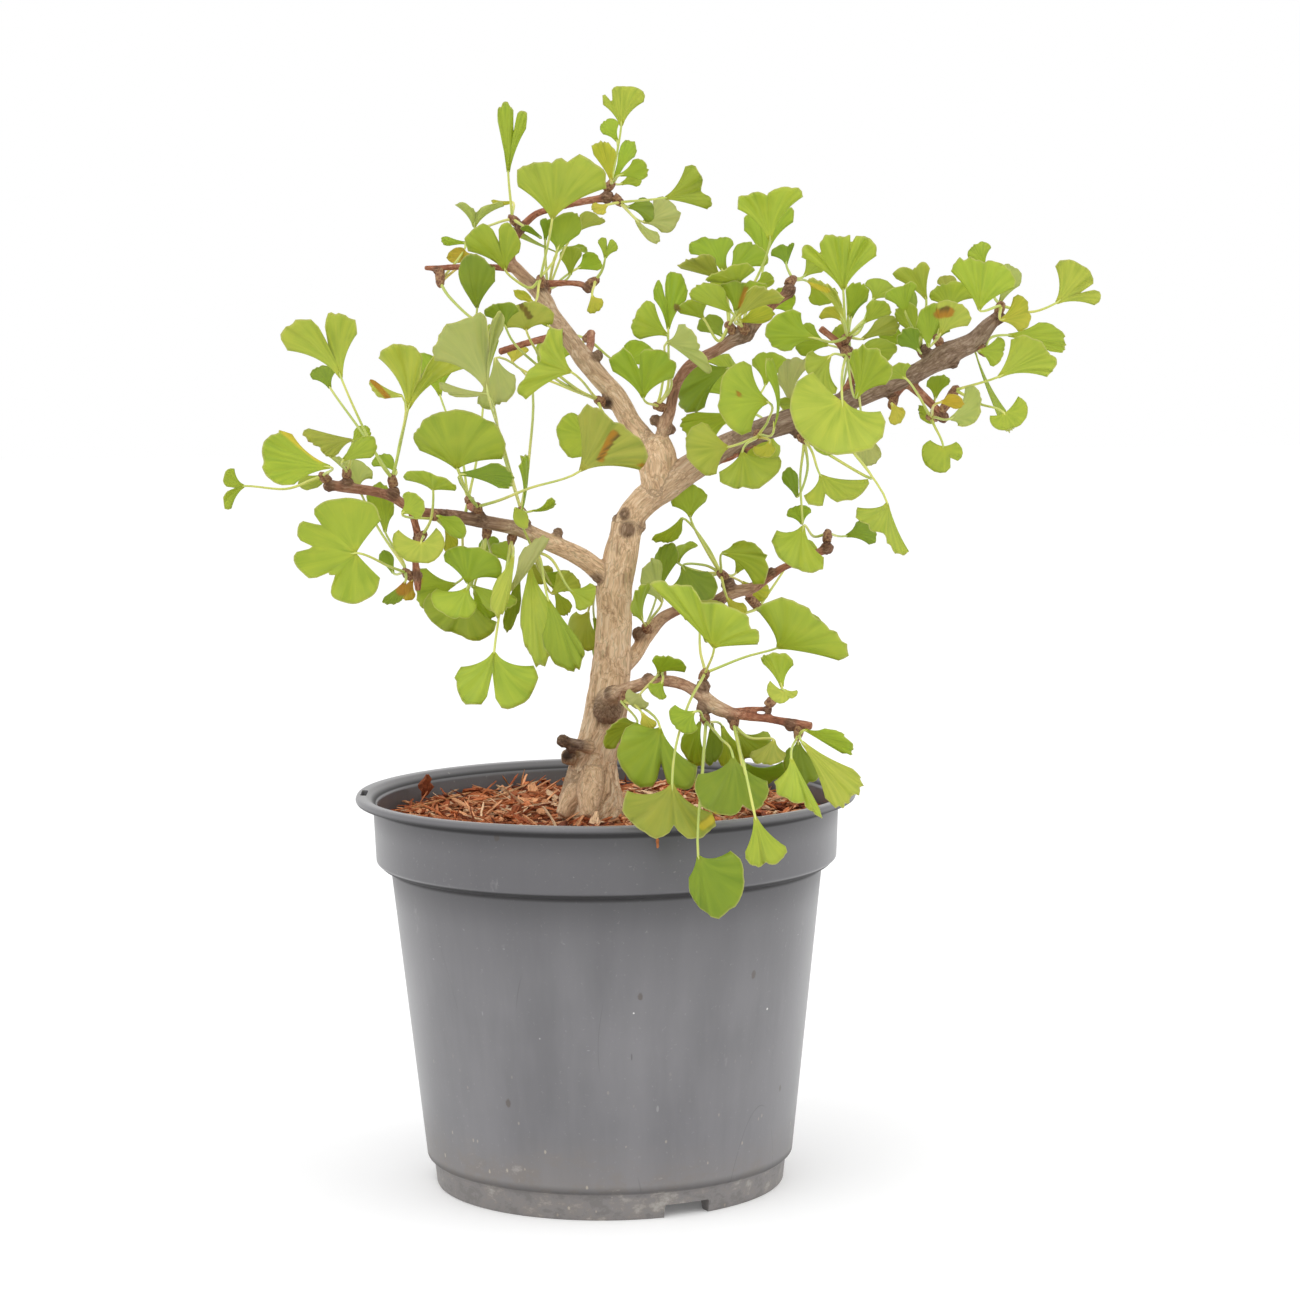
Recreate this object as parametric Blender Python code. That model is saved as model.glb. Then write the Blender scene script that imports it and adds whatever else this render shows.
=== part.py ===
"""Ginkgo bonsai in a grey plastic nursery pot.

Metres, +Z up, the pot's axis on Z and its foot on the ground plane. The pot is turned from a
profile. The tree and its leaves are placed by points read in the reference view: spot() turns such
a point and a depth into a place in the model.
"""
import math
import random

import bmesh
import bpy
from mathutils import Matrix, Vector
from mathutils.bvhtree import BVHTree

# Driving dimensions
MM = 0.001
ROOT_RADIUS = 12 * MM
ROOT_END = 125 * MM
BLADE_THICKNESS = 0.72 * MM
STALK_WIDTH = 1.3 * MM
BUD_RADIUS = 2.4 * MM
LEAF_CLEARANCE = 0.42 * MM

# The reference view, a square frame of 1300 units with its middle at 650
VIEW_MIDDLE = 650.0
VIEW_FOCAL = 3392.0
VIEW_DISTANCE = 1480.4 * MM
VIEW_HEIGHT = 380.4 * MM
VIEW_PITCH = 0.0981
VIEW_ROLL = 0.01062
VIEW_YAW = -0.01362

# Pot and soil profiles as (radius, height) in millimetres
RIM_RADIUS = 110.0
POT_HEIGHT = 173.2
FOOT_RADIUS = 78.0
SOIL_TOP = 150.0
POT_PROFILE = [
    (0, 0), (28, 0), (30, 6), (70, 6), (71, 0), (FOOT_RADIUS - 1.2, 0), (FOOT_RADIUS, 10.5), (80.9, 12.8),
    (94.9, 140.5), (98.5, 141.5), (101.2, 144), (102.3, POT_HEIGHT - 3.5),
    (RIM_RADIUS - 0.8, POT_HEIGHT - 3.5), (RIM_RADIUS, POT_HEIGHT - 2), (RIM_RADIUS - 0.8, POT_HEIGHT),
    (RIM_RADIUS - 4.6, POT_HEIGHT - 0.2),
    (100.3, 169), (99.6, 144.5), (92.8, 140.5), (76, 8.8), (27.5, 8.8), (25.5, 2.8), (0, 2.8),
]
SOIL_PROFILE = [
    (0, 9.3), (75.4, 9.3), (92.2, 140.3), (95.8, 143.8), (98.9, 145.4), (99.1, SOIL_TOP), (0, SOIL_TOP),
]
MULCH_PROFILE = [(0, 150.4), (98.3, 150.4), (98.3, 159), (92.3, 161.7), (60, 160.5), (0, 160.5)]
MULCH_RADIUS = 98.3 * MM
MULCH_TOP = 160.5 * MM
POT_SEGMENTS = 24
FOOT_NOTCH = (21 * MM, 14 * MM, 11.4 * MM)
FOOT_NOTCH_PLACE = (0, -76.5 * MM, 0)
FOOT_NOTCH_TURNS = (25, 145, 265)
DRAIN_HOLES = 6
DRAIN_RADIUS = 5 * MM
DRAIN_CIRCLE = 52 * MM
LABEL_SLOT = (2.6 * MM, 17 * MM, 9 * MM)
LABEL_SLOT_PLACE = (-106.3 * MM, 0, 171.5 * MM)
MULCH_SEED = 7
MULCH_CHIPS = 24
ROOT_CLEARANCE = 0.5 * MM
SMALL_LEAF = 16 * MM
LARGE_LEAF = 27 * MM
HUGE_LEAF = 36 * MM
NECK = 5 * MM
LONG_STRETCH = 16 * MM
NOTCH_DEPTH = 0.42
NOTCH_WIDTH = 0.14
DEPTH_SPREAD = 1.7
SHIFTS = [0] + [side * 2.5 * step for step in range(1, 15) for side in (1, -1)]
BOWS = (0, 5, -5, 11, -11, 18, -18)
CALMS = (1.0, 0.5, 0.15)
BUD_STEP = 0.25 * MM
BUD_STEPS = 120
LEAF_GREEN = (0.16, 0.27, 0.06)
TRUNK_FOOT = (589, 806, 5)
ROOT_ROUTES = {
    "root_trunk": [(589, 812, 30.0, 5), (588, 795, 27.5, 5), (591, 778, 25.5, 5)],
    "root_left": [(596, 770, 14, 3), (584, 784, 14, 0), (570, 800, 11, -4), (562, 812, 8, -6)],
    "root_right": [(600, 768, 13, 6), (606, 785, 12, 8), (616, 800, 9, 11), (622, 812, 7, 13)],
    "root_front": [(592, 772, 13, -2), (590, 790, 13, -8), (588, 806, 10, -14), (587, 815, 7, -17)],
    "root_back": [(594, 765, 13, 12), (592, 780, 12, 20), (590, 790, 9, 26), (589, 797, 7, 30)],
}
CORNERS = ("left", "tip", "right")
WELDS = (0.02 * MM, 0.01 * MM, 0.004 * MM, 0.001 * MM)
WOOD_PARTS = []
STANDING = {}


def view_ray(px, py):
    """Direction from the eye through a point of the reference view."""
    right = px - VIEW_MIDDLE
    up = VIEW_MIDDLE - py
    level_right = math.cos(VIEW_ROLL) * right + math.sin(VIEW_ROLL) * up
    level_up = math.cos(VIEW_ROLL) * up - math.sin(VIEW_ROLL) * right
    across = level_right / VIEW_FOCAL
    rise = level_up / VIEW_FOCAL
    ahead = math.cos(VIEW_PITCH) + math.sin(VIEW_PITCH) * rise
    lift = math.cos(VIEW_PITCH) * rise - math.sin(VIEW_PITCH)
    east = math.cos(VIEW_YAW) * across - math.sin(VIEW_YAW) * ahead
    north = math.sin(VIEW_YAW) * across + math.cos(VIEW_YAW) * ahead
    return Vector((east, north, lift))


def spot(px, py, depth):
    """Place in the model of a point of the reference view, at a depth in millimetres behind the axis."""
    ray = view_ray(px, py)
    reach = (VIEW_DISTANCE + depth * MM) / ray.y
    return Vector((0.0, -VIEW_DISTANCE, VIEW_HEIGHT)) + ray * reach


def size_at(units, depth):
    """Real size of a length of the reference view at a depth."""
    return units * (VIEW_DISTANCE + depth * MM) / VIEW_FOCAL


def material(name, color, roughness, metallic=0.0):
    """A plain finish for one object."""
    finish = bpy.data.materials.new(name)
    finish.use_nodes = True
    shader = finish.node_tree.nodes["Principled BSDF"]
    shader.inputs["Base Color"].default_value = (*color, 1.0)
    shader.inputs["Roughness"].default_value = roughness
    shader.inputs["Metallic"].default_value = metallic
    return finish


def add_object(name, mesh):
    """A named object for a mesh."""
    piece = bpy.data.objects.new(name, mesh)
    bpy.context.scene.collection.objects.link(piece)
    return piece


def mesh_from(bm, name):
    """A mesh from a bmesh, with its faces pointing out."""
    bmesh.ops.recalc_face_normals(bm, faces=bm.faces)
    mesh = bpy.data.meshes.new(name)
    bm.to_mesh(mesh)
    bm.free()
    return mesh


def bake_modifiers(piece):
    """Replace an object's mesh by what its modifiers make of it."""
    graph = bpy.context.evaluated_depsgraph_get()
    mesh = bpy.data.meshes.new_from_object(piece.evaluated_get(graph))
    piece.modifiers.clear()
    piece.data = mesh


def join_by_boolean(piece, others, operation="UNION", solver="MANIFOLD"):
    """One Boolean with a collection of objects, applied; the objects are removed."""
    group = bpy.data.collections.new("operands")
    bpy.context.scene.collection.children.link(group)
    for other in others:
        bpy.context.scene.collection.objects.unlink(other)
        group.objects.link(other)
    boolean = piece.modifiers.new("join", "BOOLEAN")
    boolean.operation = operation
    boolean.solver = solver
    boolean.operand_type = "COLLECTION"
    boolean.collection = group
    bake_modifiers(piece)
    for other in list(group.objects):
        bpy.data.objects.remove(other)
    bpy.data.collections.remove(group)


def finish_piece(piece, finish, smooth_angle=None):
    """Weld a finished piece's shortest edges while it stays closed, shade it and give it its material."""
    for weld in WELDS:
        bm = bmesh.new()
        bm.from_mesh(piece.data)
        bmesh.ops.remove_doubles(bm, verts=bm.verts, dist=weld)
        bmesh.ops.dissolve_degenerate(bm, dist=weld, edges=bm.edges)
        bmesh.ops.triangulate(bm, faces=bm.faces)
        closed = all(len(edge.link_faces) == 2 for edge in bm.edges)
        if closed:
            bm.to_mesh(piece.data)
        bm.free()
        if closed:
            break
    piece.data.materials.clear()
    piece.data.materials.append(finish)
    if smooth_angle:
        piece.data.shade_smooth()
        piece.data.set_sharp_from_angle(angle=math.radians(smooth_angle))


def mesh_faces(piece):
    """Points and faces of an object's mesh."""
    places = [vert.co.copy() for vert in piece.data.vertices]
    return places, [tuple(face.vertices) for face in piece.data.polygons]


def turned(name, profile, segments):
    """A solid turned round Z from a profile of (radius, height) in millimetres that ends on the axis."""
    bm = bmesh.new()
    ring = [bm.verts.new((radius * MM, 0.0, height * MM)) for radius, height in profile]
    edges = [bm.edges.new((ring[i], ring[i + 1])) for i in range(len(ring) - 1)]
    bmesh.ops.spin(bm, geom=ring + edges, axis=(0, 0, 1), cent=(0, 0, 0), angle=2 * math.pi,
                   steps=segments, use_merge=True)
    bmesh.ops.remove_doubles(bm, verts=bm.verts, dist=0.005 * MM)
    return add_object(name, mesh_from(bm, name))


def block(size, place, turn=0.0):
    """A box of a size, turned round Z and then placed."""
    bm = bmesh.new()
    bmesh.ops.create_cube(bm, size=1.0)
    bmesh.ops.scale(bm, vec=size, verts=bm.verts)
    bmesh.ops.translate(bm, vec=place, verts=bm.verts)
    bmesh.ops.rotate(bm, cent=(0, 0, 0), matrix=Matrix.Rotation(turn, 3, "Z"), verts=bm.verts)
    return add_object("cutter", mesh_from(bm, "cutter"))


def rod(radius, low, high, sides, place=(0.0, 0.0)):
    """An upright round bar."""
    bm = bmesh.new()
    bmesh.ops.create_cone(bm, cap_ends=True, segments=sides, radius1=radius, radius2=radius,
                          depth=high - low)
    bmesh.ops.translate(bm, vec=(place[0], place[1], (low + high) / 2), verts=bm.verts)
    return add_object("rod", mesh_from(bm, "rod"))


def make_pot():
    """The nursery pot: tapered body, deep collar, rolled lip, foot ring with notches."""
    pot = turned("pot", POT_PROFILE, POT_SEGMENTS)
    cutters = []
    for turn in FOOT_NOTCH_TURNS:
        cutters.append(block(FOOT_NOTCH, FOOT_NOTCH_PLACE, math.radians(turn)))
    for hole in range(DRAIN_HOLES):
        turn = 2 * math.pi * (hole + 0.5) / DRAIN_HOLES
        place = (DRAIN_CIRCLE * math.cos(turn), DRAIN_CIRCLE * math.sin(turn))
        cutters.append(rod(DRAIN_RADIUS, 4 * MM, 11 * MM, 6, place))
    cutters.append(block(LABEL_SLOT, LABEL_SLOT_PLACE))
    join_by_boolean(pot, cutters, "DIFFERENCE")
    finish_piece(pot, material("pot_grey", (0.19, 0.19, 0.20), 0.5), 35)
    return pot


def make_soil():
    """The root ball that fills the pot, with a plain hole for the foot of the trunk."""
    soil = turned("potting_soil", SOIL_PROFILE, POT_SEGMENTS)
    foot = spot(*TRUNK_FOOT)
    hole = rod(ROOT_RADIUS + ROOT_CLEARANCE, ROOT_END - 1 * MM, 160 * MM, 16, foot.xy)
    join_by_boolean(soil, [hole], "DIFFERENCE")
    finish_piece(soil, material("soil_dark", (0.035, 0.022, 0.015), 0.95), 35)
    return soil


def stem(name, sides, route, swell=0.0):
    """One smooth tapered stem along a route, as a solid of its own."""
    places = [spot(px, py, depth) for px, py, half, depth in route]
    radii = [size_at(half, depth) + swell for px, py, half, depth in route]
    curve = bpy.data.curves.new(name, "CURVE")
    curve.dimensions = "3D"
    curve.bevel_depth = MM
    curve.bevel_resolution = (sides - 4) // 2
    curve.use_fill_caps = True
    line = curve.splines.new("POLY")
    line.points.add(len(places) - 1)
    for point, place, radius in zip(line.points, places, radii):
        point.co = (*place, 1.0)
        point.radius = radius / MM
    tube = add_object(name, curve)
    graph = bpy.context.evaluated_depsgraph_get()
    mesh = bpy.data.meshes.new_from_object(tube.evaluated_get(graph))
    bpy.data.objects.remove(tube)
    solid = add_object(name, mesh)
    bm = bmesh.new()
    bm.from_mesh(mesh)
    bmesh.ops.remove_doubles(bm, verts=bm.verts, dist=0.01 * MM)
    bmesh.ops.recalc_face_normals(bm, faces=bm.faces)
    bm.to_mesh(mesh)
    bm.free()
    WOOD_PARTS.append(solid)


def knob(px, py, half, depth):
    """A spur or a bud, a rounded lump sunk in its stem."""
    bm = bmesh.new()
    bmesh.ops.create_uvsphere(bm, u_segments=4, v_segments=2, radius=size_at(half, depth) * 1.3)
    bmesh.ops.translate(bm, vec=spot(px, py, depth), verts=bm.verts)
    WOOD_PARTS.append(add_object("knob", mesh_from(bm, "knob")))


def trunk_and_limbs():
    """Stems of the tree, each a route of (px, py, half width, depth)."""
    stem("trunk", sides=10, route=[
        (589, 812, 30.0, 5), (591, 778, 25.5, 5), (594, 760, 23.0, 5), (600, 740, 22.5, 4),
        (609, 690, 21.0, 3), (614, 620, 18.0, 2), (622, 550, 16.5, 0), (627, 524, 15.5, 0),
    ])
    for name, route in ROOT_ROUTES.items():
        stem(name, 6, route)
    stem("right_limb", sides=8, route=[
        (622, 534, 13.0, 0), (640, 505, 15.0, -1), (700, 462, 14.0, -5), (740, 439, 11.5, -9),
        (850, 400, 10.5, -20), (905, 378, 10.0, -25), (928, 366, 10.0, -28), (946, 355, 13.0, -30),
        (975, 340, 10.0, -33), (988, 326, 8.0, -34), (1000, 315, 6.0, -35),
    ])
    stem("right_limb_twig", sides=4, route=[
        (905, 380, 6.0, -25), (925, 398, 4.5, -28), (944, 418, 4.5, -30),
    ])
    stem("right_limb_short_twig", sides=4, route=[
        (907, 380, 5.0, -25), (898, 390, 5.0, -24), (893, 395, 5.5, -23),
    ])
    stem("right_limb_under_twig", sides=4, route=[
        (716, 462, 3.0, -7), (730, 458, 3.0, -9), (747, 448, 3.0, -10), (764, 437, 4.0, -10),
    ])
    stem("fork_barrel", sides=8, route=[
        (657, 488, 15.0, -3), (656, 470, 18.0, -3), (657, 456, 19.0, -3), (656, 444, 16.0, -3),
        (653, 436, 10.0, -3),
    ])
    stem("left_limb", sides=8, route=[
        (654, 450, 12.0, -2), (632, 425, 11.0, 1), (601, 379, 10.0, 5), (585, 360, 10.0, 7),
        (553, 316, 8.0, 11), (543, 298, 8.0, 13), (523, 276, 6.5, 15), (511, 264, 6.0, 16),
    ])
    stem("left_twig", sides=4, route=[
        (514, 269, 4.0, 16), (490, 267, 3.2, 16), (460, 267, 3.2, 16), (437, 268, 3.2, 16),
        (424, 268, 2.6, 16),
    ])
    stem("top_twig", sides=4, route=[
        (511, 266, 5.0, 16), (512, 248, 4.0, 17), (520, 230, 4.2, 17), (533, 216, 3.8, 18),
        (547, 210, 3.6, 18), (575, 203, 3.6, 19), (597, 199, 4.0, 20), (607, 198, 5.0, 20),
    ])
    stem("right_small_twig", sides=4, route=[
        (545, 284, 4.0, 13), (565, 283, 3.2, 14), (580, 284, 3.2, 14), (588, 288, 4.5, 14),
    ])
    stem("red_twig", sides=4, route=[
        (566, 333, 4.5, 8), (547, 338, 4.0, 4), (520, 345, 3.6, 0), (499, 352, 3.6, -4),
    ])
    stem("upper_limb", sides=6, route=[
        (657, 452, 9.0, -3), (665, 424, 6.5, -5), (676, 385, 5.6, -7), (688, 367, 5.6, -10),
        (717, 350, 6.0, -13), (731, 341, 7.0, -14), (745, 333, 8.5, -15), (774, 303, 5.0, -15),
        (790, 292, 5.5, -16),
    ])
    stem("hook_twig", sides=4, route=[
        (826, 411, 6.0, -17), (842, 396, 5.0, -18), (852, 378, 4.6, -20), (853, 360, 4.4, -20),
        (845, 349, 4.6, -20), (834, 339, 3.6, -21), (820, 328, 3.6, -22),
    ])
    stem("left_branch", sides=6, route=[
        (606, 578, 11.0, 0), (585, 560, 10.0, -3), (560, 547, 9.0, -6), (520, 529, 8.0, -9),
        (480, 521, 7.0, -12), (440, 514, 5.8, -14), (405, 505, 5.0, -16), (372, 491, 5.2, -18),
        (342, 487, 5.6, -19), (331, 485, 5.2, -20),
    ])
    stem("hanging_branchlet", sides=4, route=[
        (410, 508, 4.0, -15), (415, 524, 3.8, -15), (418, 540, 4.4, -15), (415, 558, 3.4, -16),
        (417, 576, 4.4, -17), (418, 591, 3.2, -18),
    ])
    stem("back_right_branch", sides=6, route=[
        (622, 668, 9.0, 6), (646, 637, 7.2, 11), (676, 611, 5.2, 15), (712, 602, 5.4, 20),
        (735, 592, 6.6, 22), (765, 580, 4.6, 25), (800, 561, 3.6, 28), (828, 548, 4.6, 30),
    ])
    stem("low_branch", sides=6, route=[
        (604, 706, 13.0, 2), (611, 696, 10.0, -12), (622, 691, 7.0, -20), (650, 682, 6.4, -33),
        (686, 686, 6.0, -49), (703, 697, 7.2, -55), (716, 707, 8.0, -59), (728, 712, 6.6, -63),
        (768, 719, 4.2, -70), (792, 723, 4.6, -74), (812, 726, 4.4, -77),
    ])
    stem("low_upper_twig", sides=4, route=[
        (732, 712, 4.0, -64), (750, 709, 2.6, -67), (768, 709, 2.8, -70),
    ])
    stem("back_twig_right", sides=4, route=[(744, 437, 6, -5), (746, 424, 4.2, 20), (748, 410, 4.6, 44)])
    stem("back_twig_crown", sides=4, route=[(747, 330, 6, -12), (753, 318, 4.2, 10), (757, 306, 4.6, 30)])
    stem("back_twig_left", sides=4, route=[(584, 358, 6, 9), (590, 346, 4.2, 30), (591, 333, 4.6, 48)])
    stem("back_twig_low_left", sides=4, route=[
        (482, 520, 5, -11), (478, 513, 3.8, 12), (470, 506, 4.4, 32),
    ])
    stem("back_twig_low", sides=4, route=[(744, 590, 5, 24), (749, 594, 4.2, 42)])
    stem("foot_stub", sides=4, route=[(594, 748, 6.0, -2), (578, 744, 4.4, -8), (563, 742, 4.2, -12)])


def knobs():
    """Short spurs, buds and old pruning knobs as (px, py, half width, depth)."""
    for place in [
        (541, 285, 6.5, 12), (607, 402, 7.0, 3), (745, 333, 9.5, -15), (789, 290, 6.5, -16),
        (845, 350, 6.0, -20), (765, 436, 6.0, -10), (798, 432, 6.5, -15), (893, 396, 6.0, -23),
        (943, 417, 6.0, -30), (974, 341, 6.5, -33), (999, 318, 6.5, -35), (607, 197, 6.5, 20),
        (520, 228, 6.0, 17), (523, 523, 7.5, -9), (478, 517, 7.5, -12), (393, 493, 6.5, -17),
        (347, 482, 6.0, -19), (329, 486, 6.0, -20), (418, 539, 5.5, -15), (417, 576, 5.5, -17),
        (728, 584, 7.0, 22), (827, 548, 6.5, 30), (639, 634, 7.0, 10), (638, 526, 8.0, -1),
        (607, 709, 14.0, -8), (612, 693, 7.5, -15), (703, 686, 7.0, -55), (704, 708, 7.5, -57),
        (791, 725, 6.5, -74), (768, 709, 4.5, -70), (570, 757, 8.5, -2),
    ]:
        knob(*place)


def leaf(base, left, tip, right, depth, notch=None, stalk=(), spread=None):
    """One fan leaf: where its blade meets its stalk, its two corners and the middle of its margin."""
    return {"base": base, "left": left, "tip": tip, "right": right, "depth": depth,
            "notch": notch, "stalk": stalk, "spread": spread}


def reach(row):
    """How large a leaf shows."""
    length = max(math.dist(row["base"], row[corner]) for corner in CORNERS)
    return length + math.dist(row["left"], row["right"])


class Leaf:
    """A fan leaf on its stalk, at one of the depths that it may take."""

    def __init__(self, row, spur_depth, bud):
        self.row = row
        self.bud = bud
        self.spur_depth = spur_depth
        draw = random.Random(str(row["base"]))
        self.lean = draw.uniform(0.35, 0.75)
        self.arch = draw.uniform(0.03, 0.10) * draw.choice((-1, 1, 1))
        self.curl = draw.uniform(-0.10, 0.18)
        self.wave = [draw.uniform(-1, 1) for _ in range(40)]

    def place(self, shift, bow, calm, swell):
        """Set the leaf out: shifted in depth, its stalk bowed, its blade calmed, grown all round by swell."""
        row = self.row
        self.calm = calm
        depth = self.spur_depth + row["depth"] * DEPTH_SPREAD + shift
        self.swell = swell
        self.foot = spot(*row["base"], depth)
        corners = []
        if row["spread"]:
            more = row["spread"]
        else:
            more = self.tilt([spot(*row[corner], depth) - self.foot for corner in CORNERS])
        for corner, further in zip(CORNERS, more):
            corners.append(spot(*row[corner], depth + further) - self.foot)
        self.left, self.tip, self.right = corners
        middle = self.tip.normalized()
        side = self.right.normalized() - self.left.normalized()
        side -= middle * side.dot(middle)
        self.side = side.normalized()
        self.normal = self.side.cross(middle)
        if self.normal.y > 0:
            self.normal = -self.normal
        self.size = max(corner.length for corner in corners)
        self.breadth = (self.right - self.left).length
        knots = [self.bud]
        for step, point in enumerate(reversed(row["stalk"])):
            share = (step + 1) / (len(row["stalk"]) + 1)
            knots.append(spot(*point, self.spur_depth * (1 - share) + depth * share))
            knots[-1].y += bow * MM
        knots.append(self.foot)
        ahead = knots[1] - self.bud
        if ahead.length > LONG_STRETCH:
            ahead.y += bow * MM
            knots.insert(1, self.bud + ahead.normalized() * NECK)
        knots[0] = self.bud + (knots[1] - self.bud).normalized() * BUD_RADIUS * 0.36
        self.knots = knots

    def tilt(self, flat):
        """How much further back each corner stands: a flat tilt that evens out the fan's three radii."""
        radius = max(corner.length for corner in flat) * 1.04
        east_east = east_up = up_up = 0.0
        east_aim = up_aim = 0.0
        for corner in flat:
            aim = self.calm * self.lean * math.sqrt(radius ** 2 - corner.length ** 2)
            if self.foot.y < self.bud.y:
                aim = -aim
            east_east += corner.x ** 2
            east_up += corner.x * corner.z
            up_up += corner.z ** 2
            east_aim += corner.x * aim
            up_aim += corner.z * aim
        steady = 0.08 * radius ** 2
        size = (east_east + steady) * (up_up + steady) - east_up ** 2
        slope_east = (east_aim * (up_up + steady) - up_aim * east_up) / size
        slope_up = (up_aim * (east_east + steady) - east_aim * east_up) / size
        return [(slope_east * corner.x + slope_up * corner.z) / MM for corner in flat]

    def surface(self, s, j):
        """Point of the blade's middle surface: s from corner to corner, j from the stalk to the margin."""
        spread = abs(s) * (0.42 + 0.58 * j ** 0.75)
        corner = self.left if s < 0 else self.right
        ray = self.tip.normalized().slerp(corner.normalized(), spread)
        length = self.tip.length * (1 - abs(s)) + corner.length * abs(s)
        length *= 1 + 0.07 * math.sin(math.pi * abs(s))
        if self.row["notch"] is not None:
            length *= 1 - NOTCH_DEPTH * math.exp(-((s - self.row["notch"]) / NOTCH_WIDTH) ** 2)
        length *= 1 + 0.035 * self.wave[round((s + 1) * 8)]
        rise = self.calm * (self.arch * 4 * j * (1 - j) + self.curl * j * j * (1.2 - s * s))
        place = self.foot + ray * (length * j + self.swell * j)
        place += self.normal * rise * self.tip.length
        ripple = self.calm * 0.05 * self.breadth * self.wave[20 + round((s + 1) * 8)]
        place += self.normal * ripple * j * j
        return place + self.side * s * (STALK_WIDTH / 2 * (1 - j) + self.swell)

    def sheet(self):
        """Middle surface of blade and stalk: its points, the faces, and how many points are the blade's."""
        rays = 4 if min(self.size, self.breadth) < SMALL_LEAF else 6 if self.size < LARGE_LEAF else 8
        rings = 2 if self.size > HUGE_LEAF and rays == 8 else 1
        half = STALK_WIDTH / 2 + self.swell
        points = [self.foot - self.side * half, self.foot + self.side * half]
        faces = []
        rows = []
        for ring in range(1, rings + 1):
            rows.append(list(range(len(points), len(points) + rays + 1)))
            points += [self.surface(ray * 2 / rays - 1, ring / rings) for ray in range(rays + 1)]
        for ray in range(rays):
            foot = 0 if ray < rays // 2 else 1
            faces.append((foot, rows[0][ray], rows[0][ray + 1]))
        faces.append((0, rows[0][rays // 2], 1))
        for low, high in zip(rows, rows[1:]):
            for ray in range(rays):
                faces.append((low[ray], high[ray], high[ray + 1]))
                faces.append((low[ray], high[ray + 1], low[ray + 1]))
        blade_points = len(points)
        route = list(reversed(self.knots))
        side = self.side
        heading = -self.tip.normalized()
        before = (0, 1)
        for step in range(1, len(route)):
            ahead = (route[step] - route[step - 1]).normalized()
            side = heading.rotation_difference(ahead) @ side
            heading = ahead
            here = (len(points), len(points) + 1)
            points += [route[step] - side * half, route[step] + side * half]
            faces.append((before[0], before[1], here[1]))
            faces.append((before[0], here[1], here[0]))
            before = here
        return points, faces, blade_points

    def solid(self):
        """A closed shell, split alike on both faces: places, faces, the ones off the bud, the blade's."""
        points, faces, blade_points = self.sheet()
        half = BLADE_THICKNESS / 2 + self.swell
        normals = [Vector() for _ in points]
        for face in faces:
            a, b, c = (points[i] for i in face)
            normal = (b - a).cross(c - a)
            for i in face:
                normals[i] += normal
        normals = [normal.normalized() for normal in normals]
        count = len(points)
        places = [point + normal * half for point, normal in zip(points, normals)]
        places += [point - normal * half for point, normal in zip(points, normals)]
        edges = {}
        for face in faces:
            for a, b in ((face[0], face[1]), (face[1], face[2]), (face[2], face[0])):
                edges[(a, b)] = True
        shell = [(a, b, c) for a, b, c in faces] + [(c + count, b + count, a + count) for a, b, c in faces]
        for a, b in edges:
            if (b, a) not in edges:
                shell.append((b, a, a + count))
                shell.append((b, a + count, b + count))
        near = set(range(count - 4, count)) | set(range(2 * count - 4, 2 * count))
        far = [face for face in shell if not all(i in near for i in face)]
        blade = [face for face in shell if all(i % count < blade_points for i in face)]
        return places, shell, far, blade


class Thicket:
    """What already stands, to keep new leaves clear of."""

    def __init__(self):
        self.places = []
        self.faces = []
        self.tree = None

    def add(self, places, faces):
        """Take in a closed mesh."""
        start = len(self.places)
        self.places += [Vector(place) for place in places]
        self.faces += [tuple(i + start for i in face) for face in faces]
        self.tree = BVHTree.FromPolygons(self.places, self.faces)

    def touches(self, places, faces):
        """Whether a mesh meets anything that stands."""
        if not self.tree:
            return False
        return bool(BVHTree.FromPolygons(places, faces).overlap(self.tree))


def crosses_itself(places, faces):
    """Whether two faces of a mesh that share no corner meet."""
    tree = BVHTree.FromPolygons(places, faces)
    return any(a < b and not set(faces[a]) & set(faces[b]) for a, b in tree.overlap(tree))


def settle(sprig, standing, mates, mate_blades):
    """Move a leaf in depth, keeping its outline, until its blade is clear of all; mates may share stalks."""
    ways = [(calm, shift, bow) for calm in CALMS for shift in SHIFTS for bow in BOWS]
    for calm, shift, bow in ways:
        sprig.place(shift, bow, calm, LEAF_CLEARANCE)
        places, shell, far, blade = sprig.solid()
        if standing.touches(places, shell):
            continue
        if mates.touches(places, blade) or mate_blades.touches(places, far):
            continue
        sprig.place(shift, bow, calm, 0.0)
        places, shell, far, blade = sprig.solid()
        if not crosses_itself(places, shell):
            return True
    return False


def bud_place(spur, rows):
    """Place of a spray's bud: out of its spur towards its leaves, clear of the wood and of other leaves."""
    px, py, depth = spur
    start = spot(px, py, depth)
    middle = Vector()
    for row in rows:
        first = row["stalk"][-1] if row["stalk"] else row["base"]
        middle += (spot(*first, depth + row["depth"] * 0.5) - start).normalized()
    ahead = middle.normalized()
    for step in range(BUD_STEPS):
        place = start + ahead * step * BUD_STEP
        nearest, normal, index, distance = STANDING["wood"].find_nearest(place)
        outside = (place - nearest).dot(normal) > 0
        if outside and STANDING["all"].tree.find_nearest(place)[3] > BUD_RADIUS + LEAF_CLEARANCE:
            return place
    raise ValueError("no clear place for a bud")


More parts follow.
